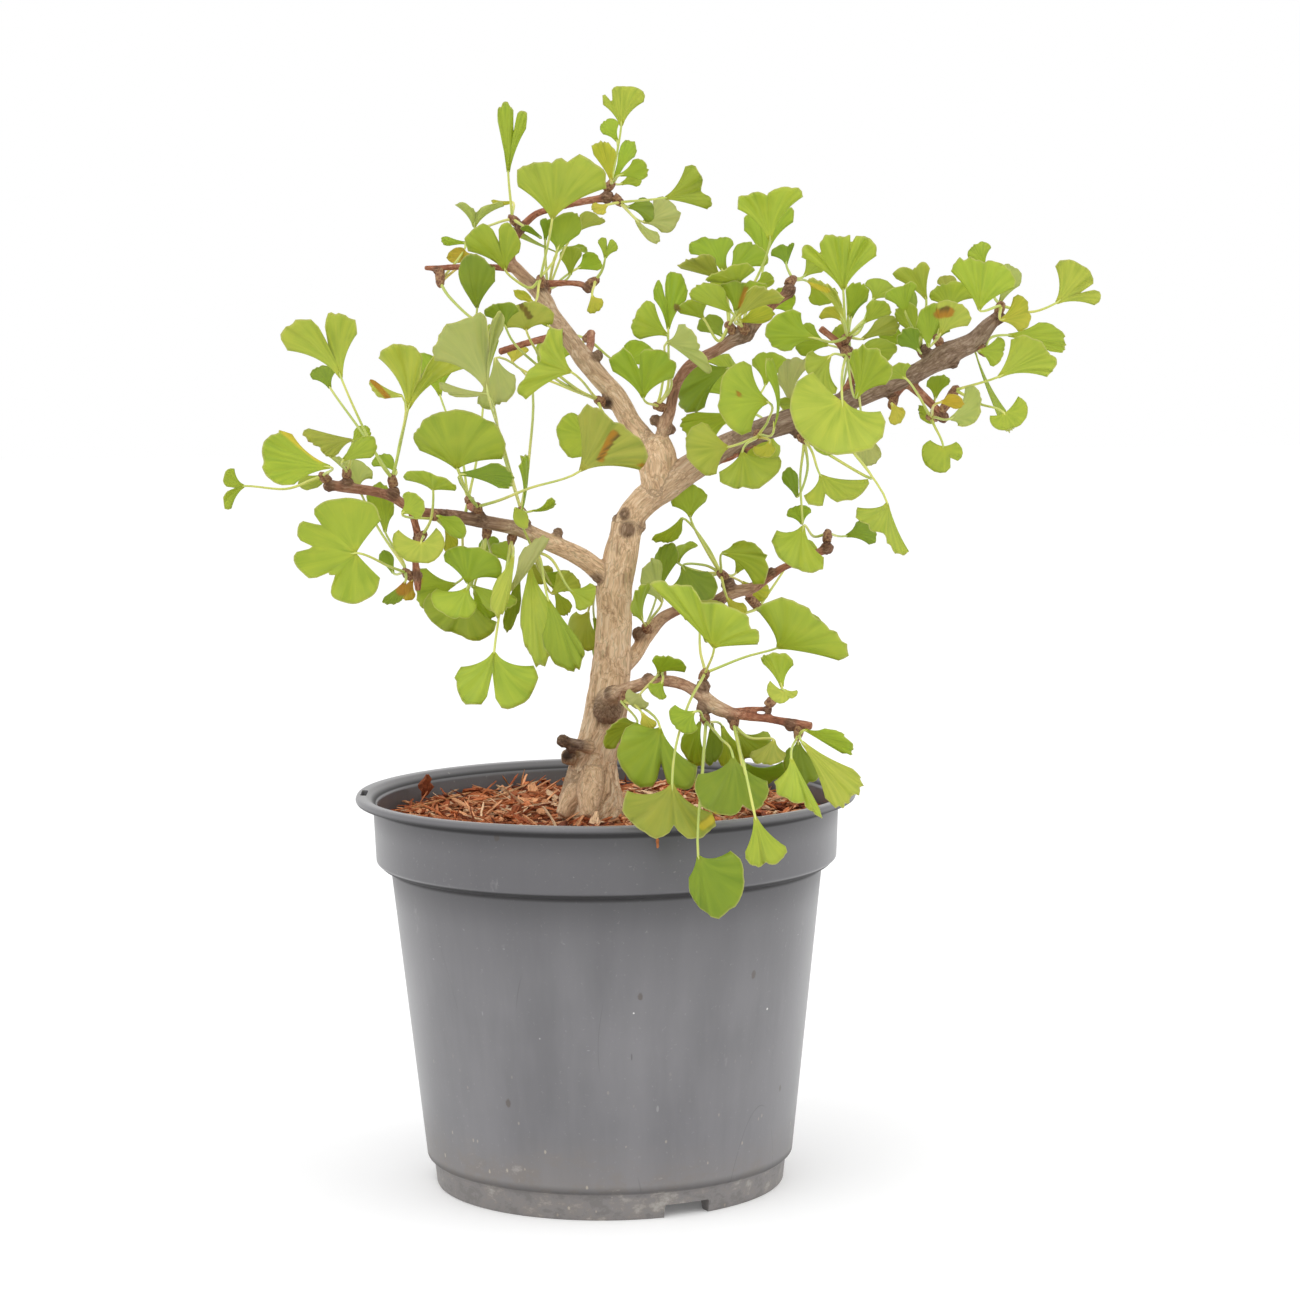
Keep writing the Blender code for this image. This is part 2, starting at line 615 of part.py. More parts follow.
def spray(name, spur, leaves):
    """A tuft of leaves whose stalks grow from one bud."""
    bud = bud_place(spur, leaves)
    bm = bmesh.new()
    bmesh.ops.create_uvsphere(bm, u_segments=4, v_segments=2, radius=BUD_RADIUS)
    bmesh.ops.translate(bm, vec=bud, verts=bm.verts)
    tuft = add_object("leaves_" + name, mesh_from(bm, name))
    mates = Thicket()
    mate_blades = Thicket()
    blades = []
    grown = [mesh_faces(tuft)]
    standing = STANDING["all"]
    for row in sorted(leaves, key=reach, reverse=True):
        sprig = Leaf(row, spur[2], bud)
        if not settle(sprig, standing, mates, mate_blades):
            raise ValueError(f"no clear place for the leaf at {row['base']} of {name}")
        places, shell, far, blade = sprig.solid()
        mesh = bpy.data.meshes.new("blade")
        mesh.from_pydata(places, [], shell)
        blades.append(add_object("blade", mesh))
        mates.add(places, far)
        mate_blades.add(places, blade)
        grown.append((places, shell))
    for places, faces in grown:
        standing.add(places, faces)
    join_by_boolean(tuft, blades)
    finish_piece(tuft, material(name + "_green", LEAF_GREEN, 0.55))
    return tuft


def make_tree_wood():
    """Trunk, limbs, twigs, spurs and the straight root end in the soil, grown in one piece."""
    trunk_and_limbs()
    knobs()
    foot = spot(*TRUNK_FOOT)
    wood = rod(ROOT_RADIUS, ROOT_END, 166 * MM, 12, foot.xy)
    wood.name = "tree_wood"
    join_by_boolean(wood, WOOD_PARTS, solver="EXACT")
    finish_piece(wood, material("bark_tan", (0.30, 0.23, 0.16), 0.85), 40)
    return wood


def make_mulch():
    """The layer of shredded bark: a bed with chips sunk in it, cut clear of the trunk."""
    draw = random.Random(MULCH_SEED)
    mulch = turned("bark_mulch", MULCH_PROFILE, POT_SEGMENTS)
    foot = spot(*TRUNK_FOOT)
    chips = []
    while len(chips) < MULCH_CHIPS:
        away = MULCH_RADIUS * math.sqrt(draw.random())
        turn = draw.uniform(0, 2 * math.pi)
        place = Vector((away * math.cos(turn), away * math.sin(turn), MULCH_TOP))
        length = draw.uniform(12, 26) * MM
        rise = draw.uniform(-6, 8) * MM
        heading = draw.uniform(0, 2 * math.pi)
        ahead = Vector((math.cos(heading), math.sin(heading), 0.0)) * length / 2
        ends = [place - ahead + Vector((0, 0, -abs(rise) * 0.4)), place + ahead + Vector((0, 0, rise))]
        too_far = any(end.xy.length > MULCH_RADIUS - 3 * MM for end in ends)
        on_trunk = any((end.xy - foot.xy).length < 32 * MM for end in ends + [place])
        if too_far or on_trunk:
            continue
        chips.append(chip(ends, draw.uniform(2.4, 5.5) * MM, draw.uniform(1.8, 3.2) * MM))
    join_by_boolean(mulch, chips)
    clearing = []
    for name, route in ROOT_ROUTES.items():
        stem(name, 10, route, swell=ROOT_CLEARANCE)
        clearing.append(WOOD_PARTS.pop())
    clearing.append(rod(ROOT_RADIUS + ROOT_CLEARANCE, 140 * MM, 175 * MM, 16, foot.xy))
    join_by_boolean(mulch, clearing, "DIFFERENCE")
    finish_piece(mulch, material("bark_orange", (0.28, 0.10, 0.04), 0.9))
    return mulch


def chip(ends, width, thickness):
    """A split sliver of bark, tapered from end to end."""
    bm = bmesh.new()
    along = ends[1] - ends[0]
    side = along.cross(Vector((0, 0, 1))).normalized() * width / 2
    up = side.cross(along).normalized() * thickness / 2
    if up.z < 0:
        up = -up
    corners = []
    for place, scale in ((ends[0], 1.0), (ends[1], 0.6)):
        corners += [place + (side * a + up * b) * scale for a, b in ((-1, -1), (1, -1), (1, 1), (-1, 1))]
    verts = [bm.verts.new(place) for place in corners]
    bmesh.ops.convex_hull(bm, input=verts)
    return add_object("chip", mesh_from(bm, "chip"))


def crown_sprays():
    """Leaves of the two top twigs and of the left limb."""
    spray("crown_tip", spur=(607, 196, 20), leaves=[
        leaf(base=(621, 126), left=(600, 101), tip=(620, 88), right=(648, 98), depth=-3, notch=-0.5),
        leaf(base=(617, 141), left=(601, 133), tip=(604, 122), right=(619, 122), depth=8),
        leaf(base=(611, 180), left=(591, 150), tip=(603, 141), right=(617, 153), depth=-8),
        leaf(base=(614, 181), left=(619, 150), tip=(627, 139), right=(638, 152), depth=2),
        leaf(base=(620, 175), left=(634, 158), tip=(648, 168), right=(641, 181), depth=-12),
    ])
    spray("crown_right", spur=(613, 199, 20), leaves=[
        leaf(base=(665, 198), left=(689, 161), tip=(700, 192), right=(711, 211), depth=-14),
        leaf(base=(628, 207), left=(641, 197), tip=(654, 206), right=(648, 224), depth=6),
        leaf(base=(643, 222), left=(655, 197), tip=(680, 213), right=(664, 234), depth=14),
        leaf(base=(636, 220), left=(639, 228), tip=(655, 242), right=(660, 234), depth=-6),
    ])
    spray("crown_left", spur=(520, 225, 17), leaves=[
        leaf(base=(508, 172), left=(496, 113), tip=(512, 104), right=(529, 121), depth=-4, notch=0.2),
        leaf(base=(474, 227), left=(453, 204), tip=(476, 214), right=(508, 203), depth=-12),
    ])
    spray("left_limb_front", spur=(541, 287, 9), leaves=[
        leaf(base=(552, 219), left=(511, 180), tip=(552, 165), right=(614, 184), depth=-16),
        leaf(base=(505, 270), left=(463, 249), tip=(493, 219), right=(521, 250), depth=-10, notch=0.0,
             stalk=[(515, 280), (530, 288)]),
        leaf(base=(556, 252), left=(511, 226), tip=(507, 230), right=(511, 234), depth=-8, spread=(-9, 0, 9)),
    ])
    spray("left_limb_back", spur=(547, 291, 20), leaves=[
        leaf(base=(557, 250), left=(548, 238), tip=(573, 213), right=(582, 232), depth=2),
        leaf(base=(575, 232), left=(580, 213), tip=(601, 216), right=(603, 224), depth=14),
        leaf(base=(570, 275), left=(558, 256), tip=(572, 248), right=(583, 254), depth=10),
        leaf(base=(578, 268), left=(583, 253), tip=(600, 260), right=(600, 271), depth=18),
    ])
    spray("left_twig", spur=(440, 283, 14), leaves=[
        leaf(base=(477, 308), left=(458, 280), tip=(470, 257), right=(497, 278), depth=-14,
             stalk=[(472, 318), (450, 298)]),
        leaf(base=(470, 255), left=(462, 247), tip=(447, 258), right=(460, 263), depth=6),
    ])
    spray("right_twig", spur=(591, 287, 14), leaves=[
        leaf(base=(605, 258), left=(597, 241), tip=(608, 238), right=(618, 250), depth=-6, notch=0.0,
             stalk=[(602, 270)]),
    ])
    spray("left_limb_low", spur=(607, 402, 2), leaves=[
        leaf(base=(571, 372), left=(517, 402), tip=(537, 361), right=(561, 322), depth=-20),
        leaf(base=(505, 326), left=(483, 315), tip=(498, 303), right=(520, 310), depth=-34,
             stalk=[(520, 350), (560, 382)]),
        leaf(base=(526, 330), left=(504, 328), tip=(525, 303), right=(556, 323), depth=-24,
             stalk=[(545, 362), (575, 388)]),
        leaf(base=(592, 438), left=(580, 459), tip=(554, 430), right=(576, 412), depth=-12,
             stalk=[(603, 421)]),
        leaf(base=(512, 362), left=(506, 352), tip=(518, 346), right=(530, 350), depth=6,
             stalk=[(560, 385)]),
    ])


def middle_sprays():
    """Leaves of the up-going limb and of the hidden forks behind it."""
    spray("fork_knob", spur=(655, 419, -4), leaves=[
        leaf(base=(643, 398), left=(607, 366), tip=(640, 343), right=(679, 373), depth=-16, notch=-0.1),
        leaf(base=(667, 335), left=(636, 340), tip=(634, 318), right=(652, 300), depth=-8,
             stalk=[(662, 385)]),
        leaf(base=(668, 329), left=(652, 296), tip=(670, 272), right=(688, 297), depth=4, notch=-0.3,
             stalk=[(668, 385)]),
        leaf(base=(667, 342), left=(682, 320), tip=(702, 348), right=(712, 376), depth=-26,
             stalk=[(672, 385)]),
    ])
    spray("upper_knob", spur=(733, 335, -14), leaves=[
        leaf(base=(770, 241), left=(733, 205), tip=(768, 198), right=(808, 192), depth=-12,
             stalk=[(758, 275)]),
        leaf(base=(722, 270), left=(685, 252), tip=(712, 240), right=(735, 242), depth=4,
             stalk=[(728, 305)]),
        leaf(base=(722, 279), left=(676, 268), tip=(692, 256), right=(714, 256), depth=-10,
             stalk=[(728, 308)]),
        leaf(base=(740, 282), left=(704, 284), tip=(720, 272), right=(757, 270), depth=-20,
             stalk=[(738, 310)]),
        leaf(base=(703, 318), left=(676, 312), tip=(685, 300), right=(708, 300), depth=-6,
             stalk=[(718, 341)]),
        leaf(base=(722, 336), left=(697, 331), tip=(705, 317), right=(724, 320), depth=8),
    ])
    spray("upper_knob_front", spur=(742, 328, -20), leaves=[
        leaf(base=(731, 312), left=(690, 300), tip=(697, 286), right=(725, 290), depth=-18),
        leaf(base=(735, 311), left=(718, 285), tip=(742, 281), right=(770, 288), depth=-10),
        leaf(base=(737, 317), left=(745, 290), tip=(768, 287), right=(786, 300), depth=-26),
        leaf(base=(741, 321), left=(754, 305), tip=(775, 313), right=(760, 324), depth=-6),
        leaf(base=(730, 274), left=(733, 248), tip=(753, 244), right=(768, 266), depth=2,
             stalk=[(736, 300)]),
    ])
    spray("upper_right", spur=(790, 289, -16), leaves=[
        leaf(base=(786, 264), left=(768, 254), tip=(788, 246), right=(795, 243), depth=6),
        leaf(base=(804, 276), left=(806, 258), tip=(822, 258), right=(824, 272), depth=14),
    ])
    spray("right_knob_top", spur=(845, 347, -20), leaves=[
        leaf(base=(843, 290), left=(796, 252), tip=(838, 236), right=(882, 250), depth=-14, notch=-0.55,
             stalk=[(845, 325)]),
        leaf(base=(842, 318), left=(806, 280), tip=(825, 281), right=(840, 298), depth=-24),
        leaf(base=(848, 316), left=(845, 288), tip=(860, 282), right=(869, 294), depth=-2),
        leaf(base=(841, 320), left=(818, 320), tip=(832, 307), right=(842, 309), depth=-4),
        leaf(base=(814, 338), left=(790, 352), tip=(767, 333), right=(800, 310), depth=-12,
             stalk=[(832, 342)]),
        leaf(base=(873, 299), left=(863, 284), tip=(890, 283), right=(896, 300), depth=8,
             stalk=[(860, 330)]),
        leaf(base=(865, 322), left=(866, 304), tip=(885, 301), right=(890, 315), depth=-8),
        leaf(base=(862, 339), left=(876, 320), tip=(895, 321), right=(894, 336), depth=2),
    ])
    spray("right_knob_low", spur=(846, 355, -26), leaves=[
        leaf(base=(838, 397), left=(805, 366), tip=(853, 452), right=(859, 349), depth=-34,
             stalk=[(842, 374)]),
        leaf(base=(830, 356), left=(809, 350), tip=(812, 378), right=(838, 394), depth=-14),
        leaf(base=(859, 352), left=(866, 342), tip=(896, 347), right=(880, 363), depth=-4),
        leaf(base=(862, 425), left=(852, 445), tip=(866, 468), right=(882, 452), depth=4,
             stalk=[(855, 385)]),
    ])
    spray("limb_knob", spur=(765, 436, -10), leaves=[
        leaf(base=(728, 447), left=(706, 421), tip=(686, 446), right=(715, 477), depth=-14),
        leaf(base=(742, 452), left=(716, 476), tip=(746, 490), right=(783, 457), depth=-24),
        leaf(base=(768, 402), left=(747, 437), tip=(719, 392), right=(748, 360), depth=-34,
             stalk=[(768, 420)]),
        leaf(base=(774, 428), left=(765, 366), tip=(768, 362), right=(772, 368), depth=-28, spread=(-8, 0,
             8)),
    ])
    spray("limb_knob_back", spur=(752, 426, -2), leaves=[
        leaf(base=(728, 368), left=(698, 358), tip=(673, 395), right=(700, 413), depth=8,
             stalk=[(745, 395)]),
        leaf(base=(735, 415), left=(690, 412), tip=(682, 430), right=(712, 440), depth=14),
        leaf(base=(735, 379), left=(700, 360), tip=(720, 355), right=(738, 368), depth=20,
             stalk=[(748, 400)]),
        leaf(base=(790, 402), left=(776, 380), tip=(787, 359), right=(808, 364), depth=6,
             stalk=[(772, 418)]),
        leaf(base=(812, 400), left=(782, 397), tip=(780, 405), right=(795, 413), depth=-16,
             stalk=[(790, 420)]),
    ])
    spray("limb_spur", spur=(800, 436, -16), leaves=[
        leaf(base=(820, 475), left=(801, 500), tip=(843, 505), right=(868, 479), depth=-18, notch=-0.3,
             stalk=[(812, 452)]),
        leaf(base=(797, 497), left=(781, 480), tip=(788, 465), right=(798, 478), depth=-6,
             stalk=[(808, 470)]),
        leaf(base=(887, 503), left=(852, 508), tip=(880, 534), right=(911, 558), depth=-24,
             stalk=[(852, 452), (870, 478)]),
        leaf(base=(825, 430), left=(812, 434), tip=(826, 456), right=(836, 446), depth=-30),
    ])


def right_sprays():
    """Leaves of the far right end of the main limb."""
    spray("right_spur_low", spur=(943, 415, -30), leaves=[
        leaf(base=(943, 446), left=(928, 439), tip=(940, 474), right=(958, 441), depth=-8, notch=0.35),
        leaf(base=(950, 419), left=(968, 383), tip=(982, 403), right=(960, 427), depth=-14),
        leaf(base=(937, 419), left=(921, 404), tip=(920, 413), right=(934, 423), depth=9),
        leaf(base=(905, 378), left=(876, 385), tip=(888, 370), right=(912, 365), depth=-16,
             stalk=[(918, 395)]),
        leaf(base=(935, 398), left=(925, 385), tip=(942, 375), right=(951, 382), depth=8),
    ])
    spray("right_end_under", spur=(955, 390, -31), leaves=[
        leaf(base=(998, 377), left=(1012, 337), tip=(1047, 352), right=(1052, 376), depth=-10),
        leaf(base=(1004, 413), left=(988, 416), tip=(1012, 428), right=(1020, 394), depth=-20,
             stalk=[(980, 404)]),
    ])
    spray("right_end_hanging", spur=(975, 341, -34), leaves=[
        leaf(base=(975, 352), left=(1001, 426), tip=(1007, 428), right=(1009, 422), depth=-8,
             spread=(-10, 0, 10)),
        leaf(base=(979, 351), left=(1000, 336), tip=(1004, 352), right=(991, 367), depth=-2),
        leaf(base=(1008, 335), left=(1042, 321), tip=(1064, 344), right=(1056, 354), depth=6,
             stalk=[(990, 338)]),
    ])
    spray("right_end_tip", spur=(999, 321, -35), leaves=[
        leaf(base=(979, 310), left=(947, 268), tip=(984, 263), right=(1019, 285), depth=-12),
        leaf(base=(1000, 302), left=(998, 268), tip=(1010, 268), right=(1021, 284), depth=4),
        leaf(base=(984, 266), left=(967, 258), tip=(974, 245), right=(992, 245), depth=8,
             stalk=[(993, 295)]),
        leaf(base=(1001, 320), left=(1015, 293), tip=(1029, 310), right=(1020, 333), depth=-8),
        leaf(base=(1056, 303), left=(1055, 261), tip=(1092, 275), right=(1099, 306), depth=-4, notch=0.35,
             stalk=[(1030, 312)]),
    ])
    spray("right_bud_top", spur=(930, 344, -28), leaves=[
        leaf(base=(928, 346), left=(914, 330), tip=(928, 303), right=(945, 310), depth=-12),
        leaf(base=(940, 334), left=(935, 305), tip=(955, 301), right=(972, 324), depth=-20),
        leaf(base=(938, 341), left=(919, 336), tip=(930, 322), right=(952, 330), depth=4),
        leaf(base=(950, 309), left=(928, 299), tip=(942, 285), right=(976, 297), depth=-6,
             stalk=[(940, 332)]),
    ])
    spray("right_bud_left", spur=(920, 349, -24), leaves=[
        leaf(base=(926, 299), left=(890, 275), tip=(912, 268), right=(930, 263), depth=-8,
             stalk=[(922, 330)]),
        leaf(base=(905, 312), left=(882, 297), tip=(900, 286), right=(918, 283), depth=-16,
             stalk=[(916, 335)]),
        leaf(base=(921, 341), left=(897, 322), tip=(900, 308), right=(917, 305), depth=2),
        leaf(base=(919, 351), left=(898, 346), tip=(903, 330), right=(920, 330), depth=-18),
    ])
    spray("right_short_twig", spur=(893, 399, -23), leaves=[
        leaf(base=(892, 404), left=(888, 421), tip=(899, 424), right=(904, 408), depth=-6),
    ])


def left_sprays():
    """Leaves of the long left branch."""
    spray("left_end", spur=(328, 485, -20), leaves=[
        leaf(base=(244, 486), left=(232, 465), tip=(224, 489), right=(229, 512), depth=-10, notch=0.0,
             stalk=[(285, 489)]),
        leaf(base=(330, 467), left=(286, 428), tip=(264, 458), right=(287, 488), depth=-20),
        leaf(base=(328, 474), left=(301, 475), tip=(300, 489), right=(322, 484), depth=4),
    ])
    spray("left_end_top", spur=(346, 480, -19), leaves=[
        leaf(base=(352, 440), left=(301, 428), tip=(318, 447), right=(335, 457), depth=-8,
             stalk=[(350, 462)]),
        leaf(base=(343, 460), left=(352, 443), tip=(372, 438), right=(373, 458), depth=-16),
    ])
    spray("left_spur_top", spur=(393, 489, -17), leaves=[
        leaf(base=(341, 378), left=(278, 346), tip=(318, 314), right=(360, 325), depth=-16, notch=0.0,
             stalk=[(358, 417), (380, 462)]),
        leaf(base=(408, 409), left=(374, 352), tip=(424, 349), right=(471, 362), depth=-6, notch=0.1,
             stalk=[(399, 450)]),
        leaf(base=(402, 396), left=(371, 379), tip=(370, 389), right=(382, 399), depth=-18,
             stalk=[(397, 450)]),
        leaf(base=(396, 471), left=(370, 466), tip=(380, 457), right=(393, 457), depth=6),
        leaf(base=(330, 388), left=(310, 378), tip=(318, 366), right=(336, 370), depth=12,
             stalk=[(360, 430)]),
    ])
    spray("left_spur_middle", spur=(478, 515, -12), leaves=[
        leaf(base=(457, 469), left=(415, 449), tip=(432, 414), right=(508, 457), depth=-14,
             stalk=[(468, 495)]),
        leaf(base=(460, 474), left=(494, 462), tip=(514, 477), right=(503, 490), depth=-24),
        leaf(base=(580, 471), left=(577, 408), tip=(614, 422), right=(649, 470), depth=-26,
             stalk=[(530, 488), (500, 500)]),
    ])
    spray("left_spur_high", spur=(522, 520, -9), leaves=[
        leaf(base=(487, 390), left=(428, 357), tip=(478, 311), right=(506, 318), depth=-30, notch=0.3,
             stalk=[(500, 440), (515, 495)]),
        leaf(base=(487, 394), left=(440, 381), tip=(450, 392), right=(468, 396), depth=-14,
             stalk=[(502, 450)]),
        leaf(base=(495, 358), left=(475, 403), tip=(500, 405), right=(518, 378), depth=-2,
             stalk=[(530, 385), (528, 460)]),
        leaf(base=(522, 511), left=(519, 461), tip=(523, 457), right=(526, 462), depth=-12, spread=(-8, 0,
             8)),
    ])
    spray("left_hanging_tip", spur=(417, 577, -17), leaves=[
        leaf(base=(357, 553), left=(385, 515), tip=(294, 560), right=(384, 582), depth=-20, notch=0.3,
             stalk=[(388, 566)]),
        leaf(base=(358, 488), left=(320, 448), tip=(343, 461), right=(375, 476), depth=-6,
             stalk=[(378, 528), (403, 565)]),
        leaf(base=(393, 573), left=(378, 560), tip=(384, 550), right=(394, 558), depth=10),
        leaf(base=(405, 582), left=(381, 600), tip=(392, 605), right=(404, 597), depth=-8),
        leaf(base=(385, 532), left=(365, 500), tip=(380, 484), right=(394, 513), depth=2,
             stalk=[(402, 560)]),
    ])
    spray("left_hanging_spur", spur=(421, 537, -15), leaves=[
        leaf(base=(433, 490), left=(400, 480), tip=(430, 474), right=(458, 493), depth=-16,
             stalk=[(431, 518)]),
        leaf(base=(421, 542), left=(395, 528), tip=(416, 562), right=(438, 526), depth=-18),
    ])
    spray("left_branch_under", spur=(440, 516, -14), leaves=[
        leaf(base=(402, 513), left=(402, 494), tip=(422, 499), right=(417, 520), depth=-22,
             stalk=[(425, 520)]),
        leaf(base=(438, 516), left=(447, 532), tip=(468, 537), right=(458, 516), depth=-4),
    ])
    spray("left_middle_hanging", spur=(487, 531, -10), leaves=[
        leaf(base=(467, 583), left=(441, 557), tip=(468, 545), right=(504, 578), depth=-4,
             stalk=[(477, 560)]),
        leaf(base=(467, 588), left=(431, 588), tip=(456, 618), right=(478, 605), depth=-14,
             stalk=[(479, 563)]),
        leaf(base=(472, 586), left=(484, 608), tip=(508, 610), right=(515, 595), depth=-10,
             stalk=[(482, 563)]),
        leaf(base=(468, 590), left=(422, 594), tip=(452, 630), right=(500, 627), depth=4,
             stalk=[(480, 560)]),
    ])
    spray("left_middle_long", spur=(512, 531, -7), leaves=[
        leaf(base=(494, 652), left=(456, 669), tip=(490, 716), right=(540, 668), depth=-22, notch=0.0,
             stalk=[(499, 615), (506, 570)]),
        leaf(base=(508, 592), left=(520, 552), tip=(550, 533), right=(537, 557), depth=-12,
             stalk=[(508, 560)]),
        leaf(base=(512, 564), left=(486, 556), tip=(498, 542), right=(515, 546), depth=10),
    ])
    spray("left_inner_low", spur=(528, 531, -5), leaves=[
        leaf(base=(520, 570), left=(503, 618), tip=(508, 634), right=(521, 604), depth=8),
        leaf(base=(530, 568), left=(521, 606), tip=(542, 671), right=(554, 610), depth=-12),
        leaf(base=(548, 600), left=(541, 641), tip=(574, 669), right=(585, 648), depth=-22,
             stalk=[(540, 560)]),
        leaf(base=(541, 573), left=(548, 585), tip=(567, 590), right=(560, 571), depth=12),
        leaf(base=(570, 590), left=(576, 610), tip=(592, 602), right=(592, 582), depth=-6,
             stalk=[(552, 560)]),
    ])
    spray("trunk_left_back", spur=(594, 590, 12), leaves=[
        leaf(base=(588, 612), left=(574, 612), tip=(582, 650), right=(600, 640), depth=14),
        leaf(base=(594, 618), left=(590, 645), tip=(604, 668), right=(612, 640), depth=26),
    ])


def low_right_sprays():
    """Leaves of the back right branch and of the low front branch."""
    spray("back_branch_knob", spur=(727, 580, 22), leaves=[
        leaf(base=(690, 517), left=(670, 505), tip=(692, 485), right=(708, 500), depth=-4,
             stalk=[(705, 548)]),
        leaf(base=(682, 518), left=(650, 536), tip=(665, 541), right=(682, 532), depth=6,
             stalk=[(706, 545)]),
        leaf(base=(678, 563), left=(663, 565), tip=(676, 549), right=(700, 546), depth=10,
             stalk=[(702, 572)]),
        leaf(base=(682, 566), left=(668, 590), tip=(708, 606), right=(712, 572), depth=-8,
             stalk=[(705, 566)]),
        leaf(base=(722, 553), left=(735, 542), tip=(764, 557), right=(757, 588), depth=-8),
        leaf(base=(742, 582), left=(749, 600), tip=(764, 598), right=(766, 582), depth=12),
        leaf(base=(727, 598), left=(728, 618), tip=(742, 622), right=(746, 604), depth=-4),
    ])
    spray("back_branch_tip", spur=(829, 545, 30), leaves=[
        leaf(base=(803, 526), left=(772, 531), tip=(797, 570), right=(826, 563), depth=-10,
             stalk=[(815, 538)]),
        leaf(base=(846, 536), left=(858, 520), tip=(874, 528), right=(872, 546), depth=18),
    ])
    spray("trunk_bud", spur=(645, 629, 8), leaves=[
        leaf(base=(662, 602), left=(643, 592), tip=(650, 560), right=(663, 564), depth=-6),
        leaf(base=(642, 620), left=(631, 615), tip=(633, 590), right=(650, 582), depth=-12),
    ])
    spray("low_neck", spur=(703, 677, -56), leaves=[
        leaf(base=(714, 648), left=(645, 583), tip=(709, 605), right=(760, 650), depth=-14),
        leaf(base=(785, 646), left=(752, 604), tip=(838, 622), right=(835, 668), depth=-6,
             stalk=[(745, 657)]),
        leaf(base=(672, 784), left=(620, 792), tip=(675, 839), right=(720, 818), depth=-20, notch=0.0,
             stalk=[(676, 745), (688, 705)]),
        leaf(base=(700, 627), left=(683, 620), tip=(705, 600), right=(738, 622), depth=16,
             stalk=[(700, 650)]),
    ])
    spray("low_twig_back", spur=(648, 674, -32), leaves=[
        leaf(base=(658, 672), left=(651, 660), tip=(668, 656), right=(688, 672), depth=-8),
    ])
    spray("low_collar", spur=(611, 690, -16), leaves=[
        leaf(base=(660, 728), left=(632, 722), tip=(640, 789), right=(702, 770), depth=-30, notch=0.3,
             stalk=[(634, 704)]),
        leaf(base=(637, 724), left=(626, 718), tip=(608, 732), right=(610, 752), depth=-20,
             stalk=[(622, 704)]),
    ])
    spray("low_fork", spur=(704, 714, -58), leaves=[
        leaf(base=(733, 757), left=(694, 773), tip=(738, 820), right=(769, 778), depth=-16, notch=0.15,
             stalk=[(720, 738)]),
        leaf(base=(698, 856), left=(688, 880), tip=(718, 919), right=(735, 850), depth=-34,
             stalk=[(702, 765), (698, 815)]),
        leaf(base=(712, 724), left=(704, 760), tip=(714, 764), right=(723, 742), depth=8),
        leaf(base=(694, 712), left=(672, 704), tip=(674, 726), right=(698, 730), depth=-20),
    ])
    spray("low_end_front", spur=(733, 724, -64), leaves=[
        leaf(base=(755, 817), left=(743, 858), tip=(765, 863), right=(789, 850), depth=-44,
             stalk=[(741, 755), (747, 790)]),
        leaf(base=(745, 764), left=(748, 777), tip=(770, 784), right=(789, 762), depth=6),
        leaf(base=(774, 740), left=(748, 754), tip=(764, 764), right=(787, 754), depth=-10,
             stalk=[(750, 738)]),
    ])
    spray("low_end", spur=(792, 726, -74), leaves=[
        leaf(base=(805, 730), left=(848, 757), tip=(850, 744), right=(828, 728), depth=-4),
        leaf(base=(802, 742), left=(860, 773), tip=(852, 797), right=(828, 806), depth=-14),
        leaf(base=(798, 742), left=(788, 748), tip=(803, 785), right=(822, 764), depth=8),
        leaf(base=(791, 758), left=(771, 786), tip=(800, 804), right=(824, 817), depth=-22),
    ])
    spray("low_upper_twig", spur=(769, 706, -70), leaves=[
        leaf(base=(782, 687), left=(760, 660), tip=(770, 652), right=(795, 661), depth=-4),
    ])


